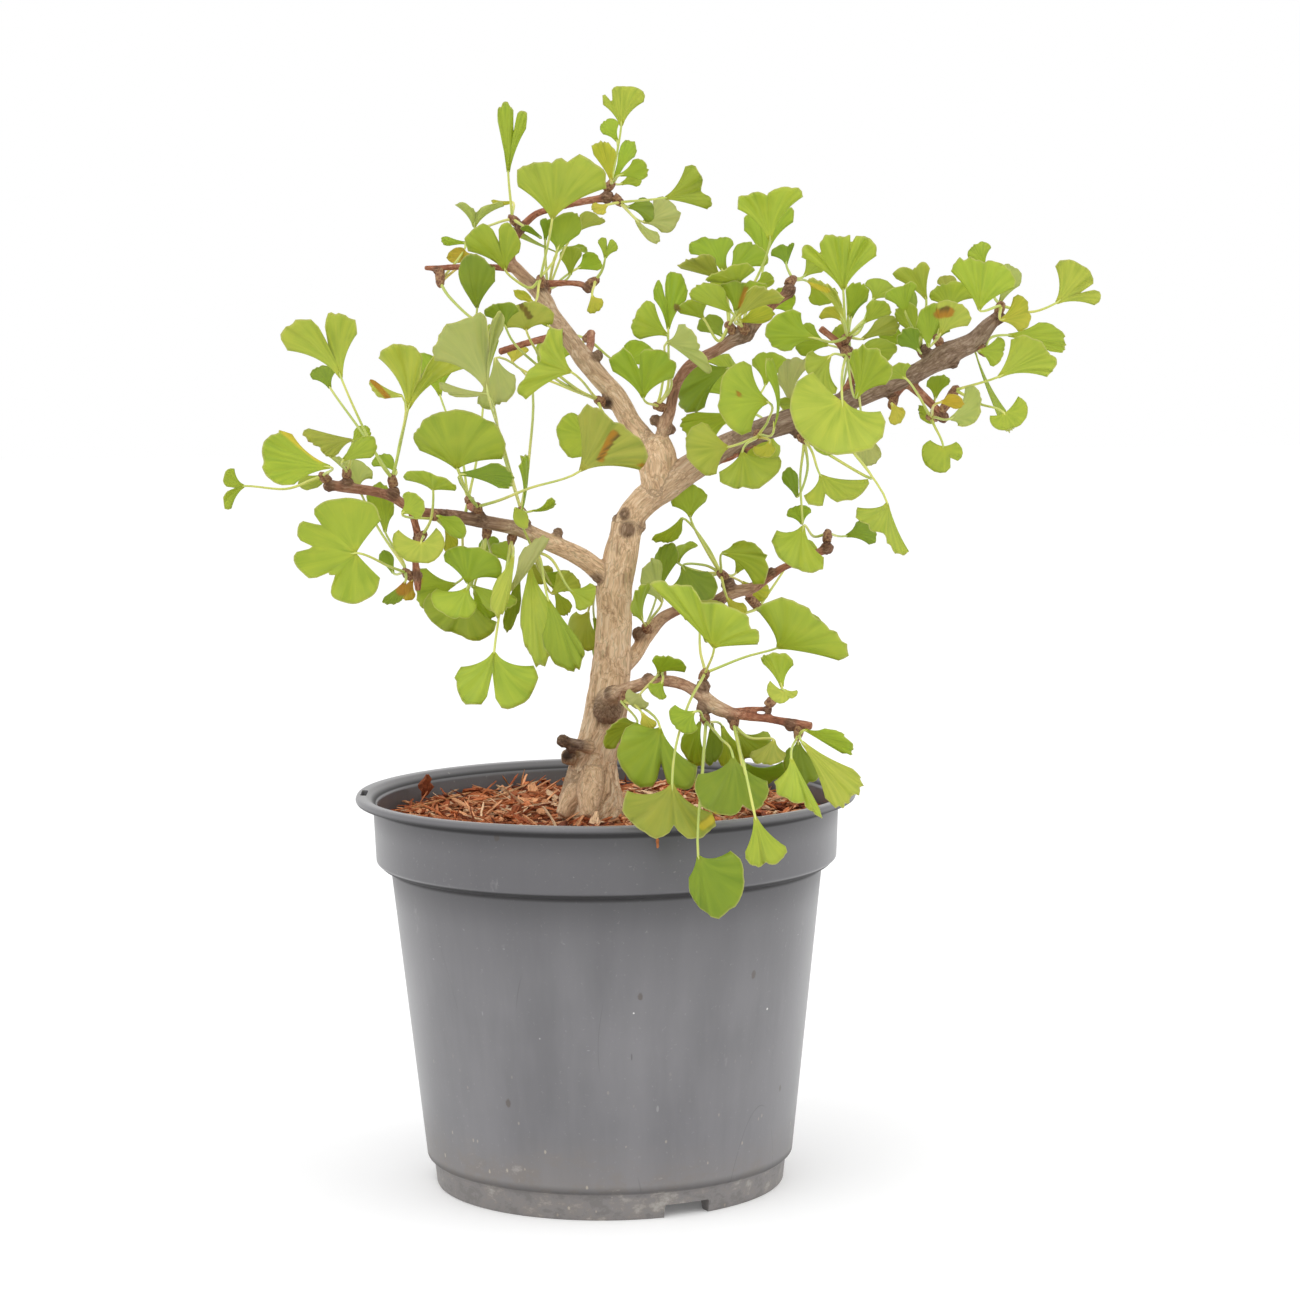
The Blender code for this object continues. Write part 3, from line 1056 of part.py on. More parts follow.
def back_sprays():
    """Leaves on the side away from the reference view, behind those that it shows."""
    spray("back_right", spur=(748, 409, 45), leaves=[
        leaf(base=(735, 400), left=(706, 392), tip=(712, 372), right=(732, 362), depth=4),
        leaf(base=(768, 425), left=(782, 450), tip=(758, 464), right=(744, 448), depth=12),
        leaf(base=(722, 425), left=(704, 452), tip=(690, 436), right=(696, 416), depth=8),
        leaf(base=(765, 385), left=(750, 362), tip=(772, 354), right=(790, 366), depth=18),
    ])
    spray("back_crown", spur=(757, 305, 31), leaves=[
        leaf(base=(764, 262), left=(742, 228), tip=(768, 212), right=(798, 216), depth=6),
        leaf(base=(726, 270), left=(700, 260), tip=(706, 246), right=(730, 244), depth=12),
        leaf(base=(738, 298), left=(708, 299), tip=(710, 284), right=(732, 279), depth=18),
        leaf(base=(772, 308), left=(776, 288), tip=(792, 294), right=(788, 312), depth=16),
    ])
    spray("back_knob", spur=(852, 352, -17), leaves=[
        leaf(base=(846, 284), left=(816, 262), tip=(842, 242), right=(870, 256), depth=24),
        leaf(base=(842, 392), left=(820, 398), tip=(836, 428), right=(856, 402), depth=22),
        leaf(base=(828, 345), left=(806, 358), tip=(796, 338), right=(812, 322), depth=28),
    ])
    spray("back_left", spur=(591, 332, 49), leaves=[
        leaf(base=(572, 352), left=(548, 374), tip=(536, 352), right=(554, 332), depth=4),
        leaf(base=(622, 364), left=(624, 344), tip=(650, 346), right=(656, 368), depth=8),
        leaf(base=(548, 326), left=(512, 326), tip=(528, 306), right=(550, 308), depth=14),
    ])
    spray("back_low_left", spur=(470, 505, 33), leaves=[
        leaf(base=(456, 462), left=(424, 444), tip=(440, 416), right=(480, 440), depth=4),
        leaf(base=(440, 396), left=(398, 364), tip=(430, 354), right=(458, 364), depth=10,
             stalk=[(460, 450)]),
        leaf(base=(484, 386), left=(452, 358), tip=(480, 326), right=(500, 336), depth=18,
             stalk=[(478, 450)]),
        leaf(base=(466, 576), left=(450, 560), tip=(470, 550), right=(490, 568), depth=10,
             stalk=[(464, 530)]),
    ])
    spray("back_low", spur=(749, 595, 43), leaves=[
        leaf(base=(790, 645), left=(764, 614), tip=(802, 610), right=(828, 650), depth=8,
             stalk=[(770, 622)]),
        leaf(base=(706, 642), left=(668, 600), tip=(702, 600), right=(738, 628), depth=4,
             stalk=[(728, 618)]),
        leaf(base=(790, 560), left=(776, 536), tip=(800, 538), right=(820, 556), depth=12),
    ])


def build():
    """The whole object, from the ground up."""
    for piece in list(bpy.data.objects):
        bpy.data.objects.remove(piece)
    pot = make_pot()
    make_soil()
    wood = make_tree_wood()
    mulch = make_mulch()
    standing = Thicket()
    for piece in (pot, mulch, wood):
        standing.add(*mesh_faces(piece))
    STANDING["all"] = standing
    STANDING["wood"] = BVHTree.FromPolygons(*mesh_faces(wood))
    crown_sprays()
    middle_sprays()
    right_sprays()
    left_sprays()
    low_right_sprays()
    back_sprays()


build()
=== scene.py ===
"""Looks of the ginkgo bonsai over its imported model: leaves, bark, mulch, pot, floor, light and camera."""
import math
import random

import bmesh
import bpy
import numpy as np
from mathutils import Matrix, Vector, noise
from mathutils.bvhtree import BVHTree


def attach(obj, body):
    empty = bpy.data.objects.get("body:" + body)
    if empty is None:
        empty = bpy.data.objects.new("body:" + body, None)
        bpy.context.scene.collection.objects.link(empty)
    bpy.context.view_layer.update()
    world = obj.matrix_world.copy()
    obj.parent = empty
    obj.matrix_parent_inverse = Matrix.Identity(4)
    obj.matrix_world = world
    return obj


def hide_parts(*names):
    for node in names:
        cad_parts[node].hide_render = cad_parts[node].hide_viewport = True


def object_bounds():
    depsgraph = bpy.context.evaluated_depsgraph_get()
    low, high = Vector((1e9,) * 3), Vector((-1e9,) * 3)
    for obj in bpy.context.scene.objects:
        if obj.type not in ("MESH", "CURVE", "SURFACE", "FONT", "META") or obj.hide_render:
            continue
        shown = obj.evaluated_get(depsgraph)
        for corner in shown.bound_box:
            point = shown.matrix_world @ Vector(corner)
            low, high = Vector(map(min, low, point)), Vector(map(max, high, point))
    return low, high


MM = 0.001

# The reference view, a square frame of 1300 units with its middle at 650
VIEW_SIZE = 1300.0
VIEW_MIDDLE = 650.0
VIEW_FOCAL = 3392.0
VIEW_DISTANCE = 1480.4 * MM
VIEW_HEIGHT = 380.4 * MM
VIEW_PITCH = 0.0981
VIEW_ROLL = 0.01062
VIEW_YAW = -0.01362
EYE = Vector((0.0, -VIEW_DISTANCE, VIEW_HEIGHT))

# Leaves, with the same rules as the solids
STALK_WIDTH = 1.3 * MM
BUD_RADIUS = 2.4 * MM
LEAF_CLEARANCE = 0.42 * MM
BLADE_SHEET = 0.34 * MM
NECK = 5 * MM
LONG_STRETCH = 16 * MM
NOTCH_DEPTH = 0.42
NOTCH_WIDTH = 0.14
DEPTH_SPREAD = 1.7
SHIFTS = [0] + [side * 2.5 * step for step in range(1, 15) for side in (1, -1)]
BOWS = (0, 5, -5, 11, -11, 18, -18)
CALMS = (1.0, 0.5, 0.15)
BUD_STEP = 0.25 * MM
BUD_STEPS = 120
CORNERS = ("left", "tip", "right")

# Finer form of the blades: shares of a blade's length or breadth, and widths along its margin from -1 to 1
WAIST = 0.42
WIDE_WAIST = 0.5
WIDE_FROM = 70
WIDE_RANGE = 50
MARGIN_BULGE = 0.07
MARGIN_WAVE = 0.035
CLEFT_WIDTH = 0.065
CLEFT_DIP = 0.13
CLEFT_DIP_WIDTH = 0.22
SLIT_WIDTH = 0.03
CRENEL = 0.024
ROUND_CORNER = 0.13
ROUND_FROM = 0.76
BLADE_WAVE = 0.05
BLADE_RIPPLE = 0.035
RING_POWER = 0.85
BIG_LEAF = 22 * MM
BIGGEST_LEAF = 32 * MM

# Stalks and buds, with radii in millimetres from one end to the other
STALK_GREEN = (0.50, 0.58, 0.15)
STALK_TINGE = 0.3
STALK_RADIUS = 0.78
STALK_TAPER = 0.26
STALK_END = (0.52, 0.36, 0.06)
BUD_RADII = (1.9, 2.2, 2.0, 1.5, 0.5)
BUD_ROUGHNESS = 0.16

# Leaf colours, and the colours of their marks; the dark tone is a darker green that is in part painted
# shade, for leaves that lie in shade
TONES = {
    "mid": (0.385, 0.500, 0.050),
    "fresh": (0.510, 0.595, 0.085),
    "pale": (0.580, 0.600, 0.220),
    "yellow": (0.640, 0.590, 0.075),
    "olive": (0.410, 0.430, 0.075),
    "dark": (0.215, 0.320, 0.028),
    "orange": (0.640, 0.380, 0.040),
}
MARK_COLOURS = {
    "brown": (0.170, 0.060, 0.020),
    "orange": (0.520, 0.190, 0.020),
    "yellow": (0.800, 0.620, 0.060),
}
# Marks on the blades: from, to, half width and colour, in the reference view
MARKS = [
    ((492, 262), (494, 264), 3.5, "brown"),
    ((520, 303), (530, 317), 3.0, "brown"),
    ((676, 307), (678, 309), 3.5, "brown"),
    ((740, 305), (746, 288), 2.6, "orange"),
    ((737, 392), (743, 399), 1.8, "orange"),
    ((938, 314), (950, 312), 5.5, "orange"),
    ((284, 429), (320, 458), 6.0, "yellow"),
    ((298, 434), (320, 456), 2.6, "orange"),
    ((316, 448), (322, 458), 2.2, "brown"),
    ((372, 380), (388, 398), 3.0, "orange"),
    ((618, 434), (600, 458), 2.4, "brown"),
    ((614, 432), (600, 460), 4.2, "orange"),
    ((640, 464), (650, 470), 3.0, "orange"),
    ((942, 312), (948, 309), 4.0, "brown"),
    ((702, 826), (716, 817), 5.0, "yellow"),
    ((806, 283), (828, 290), 3.0, "yellow"),
    ((402, 590), (416, 580), 7.0, "orange"),
]

# Wood
BARK_VOXEL = 0.72 * MM
ROOT_RADIUS = 12 * MM
ROOT_END = 125 * MM
ROOT_TOP = 164 * MM
TRUNK_FOOT = (589, 806, 5)
LEAST_STEM = 1.0 * MM
YOUNG_STEM = 3.3 * MM
BIG_KNOB = 5 * MM
KNOB_REACH = 1.5
KNOB_RING = 0.42 * MM
FOOT_FADE = 0.045
FIRST_ROOT = 1
LAST_ROOT = 4
# Old cuts and marks of the bark: px, py, size in the reference view, colour
SCARS = [
    (916, 357, 5.0, (0.560, 0.430, 0.300)),
    (567, 756, 5.0, (0.060, 0.036, 0.024)),
    (608, 403, 4.5, (0.050, 0.028, 0.018)),
]

DUSKY_TWIGS = (
    "hook_twig", "right_limb_twig", "right_limb_short_twig", "right_limb_under_twig",
    "hanging_branchlet", "back_twig_right", "back_twig_crown",
)
# Where along each stem its bark turns from tan to dusky brown: from, to and how much
DUSK = {
    "right_limb": (0.08, 0.38, 0.85),
    "left_limb": (0.05, 0.5, 0.40),
    "left_branch": (0.25, 0.45, 0.85),
    "upper_limb": (0.0, 0.3, 0.75),
    "back_right_branch": (0.1, 0.4, 0.45),
    "low_branch": (0.0, 0.2, 0.30),
    "foot_stub": (0.2, 0.6, 0.9),
    **dict.fromkeys(DUSKY_TWIGS, (0.0, 0.1, 0.9)),
}

# Pot and mulch, with the same values as the solids, in millimetres where they are profiles
POT_PROFILE = [
    (0, 0), (28, 0), (30, 6), (70, 6), (71, 0), (76.8, 0), (78, 10.5), (80.9, 12.8),
    (94.9, 140.5), (98.5, 141.5), (101.2, 144), (102.3, 169.7), (109.2, 169.7), (110, 171.2),
    (109.2, 173.2), (105.4, 173), (100.3, 169), (99.6, 144.5), (92.8, 140.5), (76, 8.8),
    (27.5, 8.8), (25.5, 2.8), (0, 2.8),
]
POT_STEPS = 192
POT_CORNER = 16
POT_EDGE = 0.62 * MM
POT_SHARP = 32
CUTTER_EDGE = 0.9 * MM
DRAIN_CUT = (4 * MM, 11 * MM)
FOOT_NOTCH = (21 * MM, 14 * MM, 11.4 * MM)
FOOT_NOTCH_PLACE = (0, -76.5 * MM, 0)
FOOT_NOTCH_TURNS = (25, 145, 265)
DRAIN_HOLES = 6
DRAIN_RADIUS = 5 * MM
DRAIN_CIRCLE = 52 * MM
LABEL_SLOT = (2.6 * MM, 17 * MM, 9 * MM)
LABEL_SLOT_PLACE = (-106.3 * MM, 0, 171.5 * MM)
MULCH_RADIUS = 98.3 * MM
MULCH_TOP = 160.5 * MM
MULCH_LOW = 150.6 * MM
BED_PROFILE = [
    (0, 150.6), (98.2, 150.6), (98.2, 157.0), (96.0, 159.4), (90, 159.6), (75, 159.4), (60, 159.2),
    (45, 159.2), (30, 159.2), (15, 159.2), (0, 159.2),
]
BED_STEPS = 96
BED_TOP = 155 * MM
BED_TINT = (0.16, 0.045, 0.018)
MULCH_SEED = 7
SLIVERS = 2300
THIN_SHARE = 0.62
STEEP_SHARE = 0.14
TRUNK_GAP = 13 * MM
CHIP_TINTS = [
    (0.60, 0.200, 0.080), (0.42, 0.115, 0.044), (0.80, 0.390, 0.195), (0.86, 0.580, 0.360),
    (0.20, 0.055, 0.025),
]
CHIP_SHARES = [32, 18, 28, 14, 8]
# Single shreds that stand out: two ends as (px, py, depth), width in millimetres and tint
LOOSE_SHREDS = [
    ((424, 797, 48), (427, 775, 44), 4.2, (0.30, 0.085, 0.035)),
    ((520, 790, 78), (524, 770, 78), 1.0, (0.62, 0.26, 0.10)),
    ((657, 836, -104.5), (657.5, 848, -104.0), 1.1, (0.50, 0.17, 0.06)),
    ((470, 806, 32), (545, 778, 84), 1.0, (0.66, 0.38, 0.19)),
    ((398, 812, 15), (470, 792, 62), 1.2, (0.62, 0.30, 0.13)),
]

# Heights on the pot between which a tone comes in, in millimetres: painted shade, a painted highlight, a
# painted shadow line in a crease and a ring of scuffs
LIP_FACE_SHADE = (169.4, 170.4)
LIP_TOP_HIGHLIGHT = (172.2, 173.1)
LIP_SHADOW_LINE = (166.6, 167.7)
LIP_SHADE = (156.0, 167.5)
LIP_SHADOW_STOP = (171.8, 169.9)
COLLAR_SHADOW_LINE = (138.6, 140.2)
COLLAR_SHADE = (122.0, 140.0)
COLLAR_SHADOW_STOP = (143.6, 142.5)
FOOT_SHADOW_LINE = (16.0, 12.6)
FOOT_SHADOW_STOP = (11.2, 12.2)
FOOT_RING = (13.2, 12.2)
COLLAR_RADII = (100.8, 101.4)

# Lights: name, place, size and power
SOFT_LIGHTS = [
    ("soft_left", (-1.0, -1.3, 2.0), 2.6, 16.0),
    ("soft_right", (1.6, -0.6, 1.6), 2.2, 9.0),
]
LIGHT_AIM = Vector((0.0, 0.0, 0.2))
FLOOR_HALF = 8.0
FLOOR_SHADE = 0.93
FLOOR_GLOW = 0.10
SENSOR = 36.0

# Stems of the tree, each a route of (px, py, half width, depth)
STEMS = {
    "trunk": [
        (591, 816, 33.5, 5), (591, 800, 32.0, 5), (592, 781, 28.0, 5), (594, 760, 23.5, 5),
        (600, 740, 22.5, 4), (605, 718, 22.0, 4), (609, 690, 21.0, 3), (612, 660, 19.5, 3),
        (614, 620, 18.0, 2), (615, 583, 17.5, 1), (622, 550, 16.5, 0), (627, 524, 15.5, 0),
    ],
    "root_left": [
        (596, 770, 14, 3), (584, 784, 14, 0), (570, 802, 11, -4), (562, 816, 8, -6),
    ],
    "root_right": [
        (600, 768, 13, 6), (606, 785, 12, 8), (616, 802, 9, 11), (622, 815, 7, 13),
    ],
    "root_front": [
        (592, 772, 13, -2), (590, 790, 13, -8), (588, 808, 10, -14), (587, 818, 7, -17),
    ],
    "root_back": [
        (594, 765, 13, 12), (592, 780, 12, 20), (590, 792, 9, 26), (589, 800, 7, 30),
    ],
    "right_limb": [
        (622, 534, 13.0, 0), (640, 505, 15.0, -1), (665, 487, 15.0, -3), (700, 462, 14.0, -5),
        (740, 439, 11.5, -9), (780, 424, 12.0, -13), (815, 413, 11.5, -16), (850, 400, 10.5, -20),
        (905, 378, 10.0, -25), (928, 366, 10.0, -28), (946, 355, 13.0, -30), (960, 348, 10.5, -32),
        (975, 340, 10.0, -33), (988, 326, 8.0, -34), (1000, 315, 6.0, -35),
    ],
    "right_limb_twig": [
        (905, 380, 6.0, -25), (925, 398, 4.5, -28), (944, 418, 4.5, -30),
    ],
    "right_limb_short_twig": [
        (907, 380, 5.0, -25), (898, 390, 5.0, -24), (893, 395, 5.5, -23),
    ],
    "right_limb_under_twig": [
        (716, 462, 3.0, -7), (730, 458, 3.0, -9), (747, 448, 3.0, -10), (764, 437, 4.0, -10),
    ],
    "fork_barrel": [
        (657, 488, 15.0, -3), (656, 470, 18.0, -3), (657, 456, 19.0, -3), (656, 444, 16.0, -3),
        (653, 436, 10.0, -3),
    ],
    "left_limb": [
        (654, 450, 12.0, -2), (632, 425, 11.0, 1), (617, 398, 10.5, 3), (601, 379, 10.0, 5),
        (585, 360, 10.0, 7), (567, 335, 9.0, 9), (553, 316, 8.0, 11), (543, 298, 8.0, 13),
        (523, 276, 6.5, 15), (511, 264, 6.0, 16),
    ],
    "left_twig": [
        (514, 269, 4.0, 16), (490, 267, 3.2, 16), (460, 267, 3.2, 16), (437, 268, 3.2, 16),
        (424, 268, 2.6, 16),
    ],
    "top_twig": [
        (511, 266, 5.0, 16), (512, 248, 4.0, 17), (520, 230, 4.2, 17), (533, 216, 3.8, 18),
        (547, 210, 3.6, 18), (575, 203, 3.6, 19), (597, 199, 4.0, 20), (607, 198, 5.0, 20),
    ],
    "right_small_twig": [
        (545, 284, 4.0, 13), (565, 283, 3.2, 14), (580, 284, 3.2, 14), (588, 288, 4.5, 14),
    ],
    "red_twig": [
        (566, 333, 4.5, 8), (547, 338, 4.0, 4), (520, 345, 3.6, 0), (499, 352, 3.6, -4),
    ],
    "upper_limb": [
        (657, 452, 9.0, -3), (661, 438, 7.0, -4), (665, 424, 6.5, -5), (670, 409, 6.0, -5),
        (676, 385, 5.6, -7), (688, 367, 5.6, -10), (703, 357, 5.8, -12), (717, 350, 6.0, -13),
        (731, 341, 7.0, -14), (745, 333, 8.5, -15), (757, 321, 6.0, -15), (774, 303, 5.0, -15),
        (790, 292, 5.5, -16),
    ],
    "hook_twig": [
        (826, 411, 6.0, -17), (842, 396, 5.0, -18), (852, 378, 4.6, -20), (853, 360, 4.4, -20),
        (845, 349, 4.6, -20), (834, 339, 3.6, -21), (820, 328, 3.6, -22),
    ],
    "left_branch": [
        (606, 578, 11.0, 0), (585, 560, 10.0, -3), (560, 547, 9.0, -6), (540, 538, 8.5, -8),
        (520, 529, 8.0, -9), (500, 525, 7.0, -11), (480, 521, 7.0, -12), (460, 517, 6.5, -13),
        (440, 514, 5.8, -14), (420, 512, 5.2, -15), (405, 505, 5.0, -16), (390, 496, 5.2, -17),
        (372, 491, 5.2, -18), (356, 489, 5.4, -19), (342, 487, 5.6, -19), (331, 485, 5.2, -20),
    ],
    "hanging_branchlet": [
        (410, 508, 4.0, -15), (415, 524, 3.8, -15), (418, 540, 4.4, -15), (415, 558, 3.4, -16),
        (417, 576, 4.4, -17), (418, 591, 3.2, -18),
    ],
    "back_right_branch": [
        (622, 668, 9.0, 6), (634, 655, 8.0, 9), (646, 637, 7.2, 11), (660, 620, 6.6, 13),
        (676, 611, 5.2, 15), (692, 606, 4.6, 17), (712, 602, 5.4, 20), (735, 592, 6.6, 22),
        (752, 588, 5.8, 24), (765, 580, 4.6, 25), (782, 568, 3.8, 27), (800, 561, 3.6, 28),
        (828, 548, 4.6, 30),
    ],
    "low_branch": [
        (604, 706, 13.0, 2), (611, 696, 10.0, -12), (622, 691, 7.0, -20), (636, 686, 6.6, -26),
        (650, 682, 6.4, -33), (668, 681, 6.0, -41), (686, 686, 6.0, -49), (703, 697, 7.2, -55),
        (716, 707, 8.0, -59), (728, 712, 6.6, -63), (744, 716, 4.6, -67), (768, 719, 4.2, -70),
        (792, 723, 4.6, -74), (812, 726, 4.4, -77),
    ],
    "low_upper_twig": [
        (732, 712, 4.0, -64), (750, 709, 2.6, -67), (768, 709, 2.8, -70),
    ],
    "foot_stub": [
        (594, 748, 7.0, -2), (578, 745, 6.0, -8), (566, 742, 5.5, -11),
    ],
    "root_trunk": [
        (589, 812, 30.0, 5), (588, 795, 27.5, 5), (591, 778, 25.5, 5),
    ],
    "back_twig_right": [
        (744, 437, 6, -5), (746, 424, 4.2, 20), (748, 410, 4.6, 44),
    ],
    "back_twig_crown": [
        (747, 330, 6, -12), (753, 318, 4.2, 10), (757, 306, 4.6, 30),
    ],
    "back_twig_left": [
        (584, 358, 6, 9), (590, 346, 4.2, 30), (591, 333, 4.6, 48),
    ],
    "back_twig_low_left": [
        (482, 520, 5, -11), (478, 513, 3.8, 12), (470, 506, 4.4, 32),
    ],
    "back_twig_low": [
        (744, 590, 5, 24), (749, 594, 4.2, 42),
    ],
}

# Spurs, buds and old pruning knobs as (px, py, half width, depth)
KNOBS = [
    (541, 285, 6.5, 12), (607, 402, 7.0, 3), (597, 356, 5.5, 5), (655, 420, 5.5, -4), (671, 430, 5.0, -5),
    (745, 333, 9.5, -15), (789, 290, 6.5, -16), (845, 350, 6.0, -20), (765, 436, 6.0, -10),
    (798, 432, 6.5, -15), (743, 454, 4.5, -10), (893, 396, 6.0, -23), (925, 350, 6.0, -27),
    (943, 417, 6.0, -30), (974, 341, 6.5, -33), (953, 363, 6.0, -31), (999, 318, 6.5, -35),
    (607, 197, 6.5, 20), (520, 228, 6.0, 17), (588, 288, 5.5, 14), (437, 271, 4.5, 16), (523, 523, 7.5, -9),
    (478, 517, 7.5, -12), (393, 493, 6.5, -17), (347, 482, 6.0, -19), (329, 486, 6.0, -20),
    (558, 533, 5.5, -6), (597, 577, 6.0, -3), (418, 539, 5.5, -15), (417, 576, 5.5, -17),
    (728, 584, 7.0, 22), (718, 603, 6.0, 20), (771, 572, 5.0, 26), (827, 548, 6.5, 30), (639, 634, 7.0, 10),
    (638, 526, 8.0, -1), (618, 520, 6.0, 1), (627, 530, 6.5, -5.5), (625, 514, 5.0, -5),
    (607, 709, 14.0, -8), (612, 693, 7.5, -15), (563, 741, 6.5, -12), (571, 748, 5.5, -10),
    (648, 678, 5.5, -32), (703, 686, 7.0, -55), (704, 708, 7.5, -57), (732, 719, 5.5, -64),
    (791, 725, 6.5, -74), (768, 709, 4.5, -70), (570, 757, 8.5, -2), (444, 515, 5.5, -14),
    (517, 527, 6.5, -8), (532, 533, 6.0, -7),
]


def view_ray(px, py):
    """Direction from the eye through a point of the reference view."""
    right = px - VIEW_MIDDLE
    up = VIEW_MIDDLE - py
    level_right = math.cos(VIEW_ROLL) * right + math.sin(VIEW_ROLL) * up
    level_up = math.cos(VIEW_ROLL) * up - math.sin(VIEW_ROLL) * right
    across = level_right / VIEW_FOCAL
    rise = level_up / VIEW_FOCAL
    ahead = math.cos(VIEW_PITCH) + math.sin(VIEW_PITCH) * rise
    lift = math.cos(VIEW_PITCH) * rise - math.sin(VIEW_PITCH)
    east = math.cos(VIEW_YAW) * across - math.sin(VIEW_YAW) * ahead
    north = math.sin(VIEW_YAW) * across + math.cos(VIEW_YAW) * ahead
    return Vector((east, north, lift))


def spot(px, py, depth):
    """Place in the model of a point of the reference view, at a depth in millimetres behind the axis."""
    ray = view_ray(px, py)
    reach = (VIEW_DISTANCE + depth * MM) / ray.y
    return EYE + ray * reach


def size_at(units, depth):
    """Real size of a length of the reference view at a depth."""
    return units * (VIEW_DISTANCE + depth * MM) / VIEW_FOCAL


EYE_BACK = -view_ray(VIEW_MIDDLE, VIEW_MIDDLE).normalized()
EYE_RIGHT = (view_ray(VIEW_MIDDLE + 1, VIEW_MIDDLE) - view_ray(VIEW_MIDDLE, VIEW_MIDDLE)).normalized()
EYE_UP = EYE_BACK.cross(EYE_RIGHT)


def seen_at(places):
    """Where an array of places shows in the reference view."""
    rays = places - np.array(EYE)
    away = -(rays @ np.array(EYE_BACK))
    return np.column_stack((
        VIEW_MIDDLE + VIEW_FOCAL * (rays @ np.array(EYE_RIGHT)) / away,
        VIEW_MIDDLE - VIEW_FOCAL * (rays @ np.array(EYE_UP)) / away,
    ))


def smooth_step(value):
    """Ease from 0 to 1 over the range 0 to 1."""
    value = min(max(value, 0.0), 1.0)
    return value * value * (3 - 2 * value)


class Number:
    """A number on a node's socket; arithmetic on it adds Math nodes."""

    def __init__(self, finish, socket):
        self.finish = finish
        self.socket = socket

    def __add__(self, other):
        return self.finish.math("ADD", self, other)

    __radd__ = __add__

    def __sub__(self, other):
        return self.finish.math("SUBTRACT", self, other)

    def __rsub__(self, other):
        return self.finish.math("SUBTRACT", other, self)

    def __mul__(self, other):
        return self.finish.math("MULTIPLY", self, other)

    __rmul__ = __mul__


class Finish:
    """A material and its nodes, built on one Principled shader."""

    def __init__(self, name, **constants):
        self.material = bpy.data.materials.new(name)
        self.material.use_nodes = True
        self.tree = self.material.node_tree
        self.surface = self.tree.nodes["Principled BSDF"]
        for socket, value in constants.items():
            self.surface.inputs[socket.replace("_", " ")].default_value = value

    def plug(self, value, socket):
        """Set a socket to a constant or link it."""
        if isinstance(value, Number):
            value = value.socket
        if isinstance(value, bpy.types.NodeSocket):
            self.tree.links.new(value, socket)
        else:
            socket.default_value = value

    def node(self, kind, settings=None, sockets=None):
        """A node of a kind: its settings first, then the values or links of its sockets."""
        node = self.tree.nodes.new("ShaderNode" + kind)
        for setting, value in (settings or {}).items():
            setattr(node, setting, value)
        for socket, value in (sockets or {}).items():
            self.plug(value, node.inputs[socket])
        return node

    def math(self, operation, first, second=0.0):
        """A Math node on one or two numbers."""
        node = self.node("Math", {"operation": operation}, {0: first, 1: second})
        return Number(self, node.outputs[0])

    def band(self, value, low, high):
        """0 below low and 1 above high, smooth between."""
        node = self.node("MapRange", {"interpolation_type": "SMOOTHSTEP"},
                         {"Value": value, "From Min": low, "From Max": high})
        return Number(self, node.outputs["Result"])

    def band_mm(self, value, ends):
        """A band whose two ends are in millimetres."""
        low, high = ends
        return self.band(value, low * MM, high * MM)

    def mix(self, share, first, second, blend="MIX"):
        """Two colours mixed."""
        node = self.node("Mix", {"data_type": "RGBA", "blend_type": blend, "clamp_factor": True},
                         {0: share, 6: first, 7: second})
        return node.outputs[2]

    def over(self, colour, *coats):
        """A colour under coats of (share, paint), each laid over the ones before it."""
        for share, paint in coats:
            colour = self.mix(share, colour, opaque(paint))
        return colour

    def times(self, colour, factors):
        """A colour multiplied by factors of red, green and blue."""
        return self.mix(1.0, colour, opaque(factors), "MULTIPLY")

    def ramp(self, value, stops):
        """A colour for a number, from stops of (position, colour)."""
        node = self.node("ValToRGB", None, {"Fac": value})
        while len(node.color_ramp.elements) < len(stops):
            node.color_ramp.elements.new(1.0)
        for element, (position, colour) in zip(node.color_ramp.elements, stops):
            element.position = position
            element.color = (*colour, 1.0)
        return node.outputs["Color"]

    def kept(self, name, output):
        """A vector, a colour or another output of what is kept on the mesh under a name."""
        return self.node("Attribute", {"attribute_name": name}).outputs[output]

    def share(self, name, output="Fac"):
        """A number kept on the mesh."""
        return Number(self, self.kept(name, output))

    def place(self):
        """Place on the object."""
        return self.node("TexCoord").outputs["Object"]

    def along(self, place, axis):
        """A place's value on one axis."""
        return Number(self, self.node("SeparateXYZ", None, {0: place}).outputs[axis])

    def stretched(self, place, factors):
        """A place multiplied along each axis."""
        node = self.node("VectorMath", {"operation": "MULTIPLY"}, {0: place, 1: factors})
        return node.outputs[0]

    def cloud(self, place, scale, detail=2.0, roughness=0.5, distortion=0.0):
        """Noise about 0.5."""
        node = self.node("TexNoise", None, {"Vector": place, "Scale": scale, "Detail": detail,
                                            "Roughness": roughness, "Distortion": distortion})
        return Number(self, node.outputs["Fac"])

    def cells(self, place, scale, feature="F1"):
        """Distance to the nearest point or edge of scattered cells."""
        node = self.node("TexVoronoi", {"feature": feature}, {"Vector": place, "Scale": scale})
        return Number(self, node.outputs["Distance"])

    def relief(self, height, distance, strength):
        """A bump on the surface."""
        sockets = {"Height": height, "Distance": distance, "Strength": strength}
        return self.node("Bump", None, sockets).outputs["Normal"]

    def dress(self, **sockets):
        """Feed the shader's sockets."""
        for socket, value in sockets.items():
            self.plug(value, self.surface.inputs[socket.replace("_", " ")])
        return self.material


def grey(value):
    """A grey colour."""
    return (value, value, value, 1.0)


def opaque(colour):
    """A colour with its alpha."""
    return (*colour, 1.0)


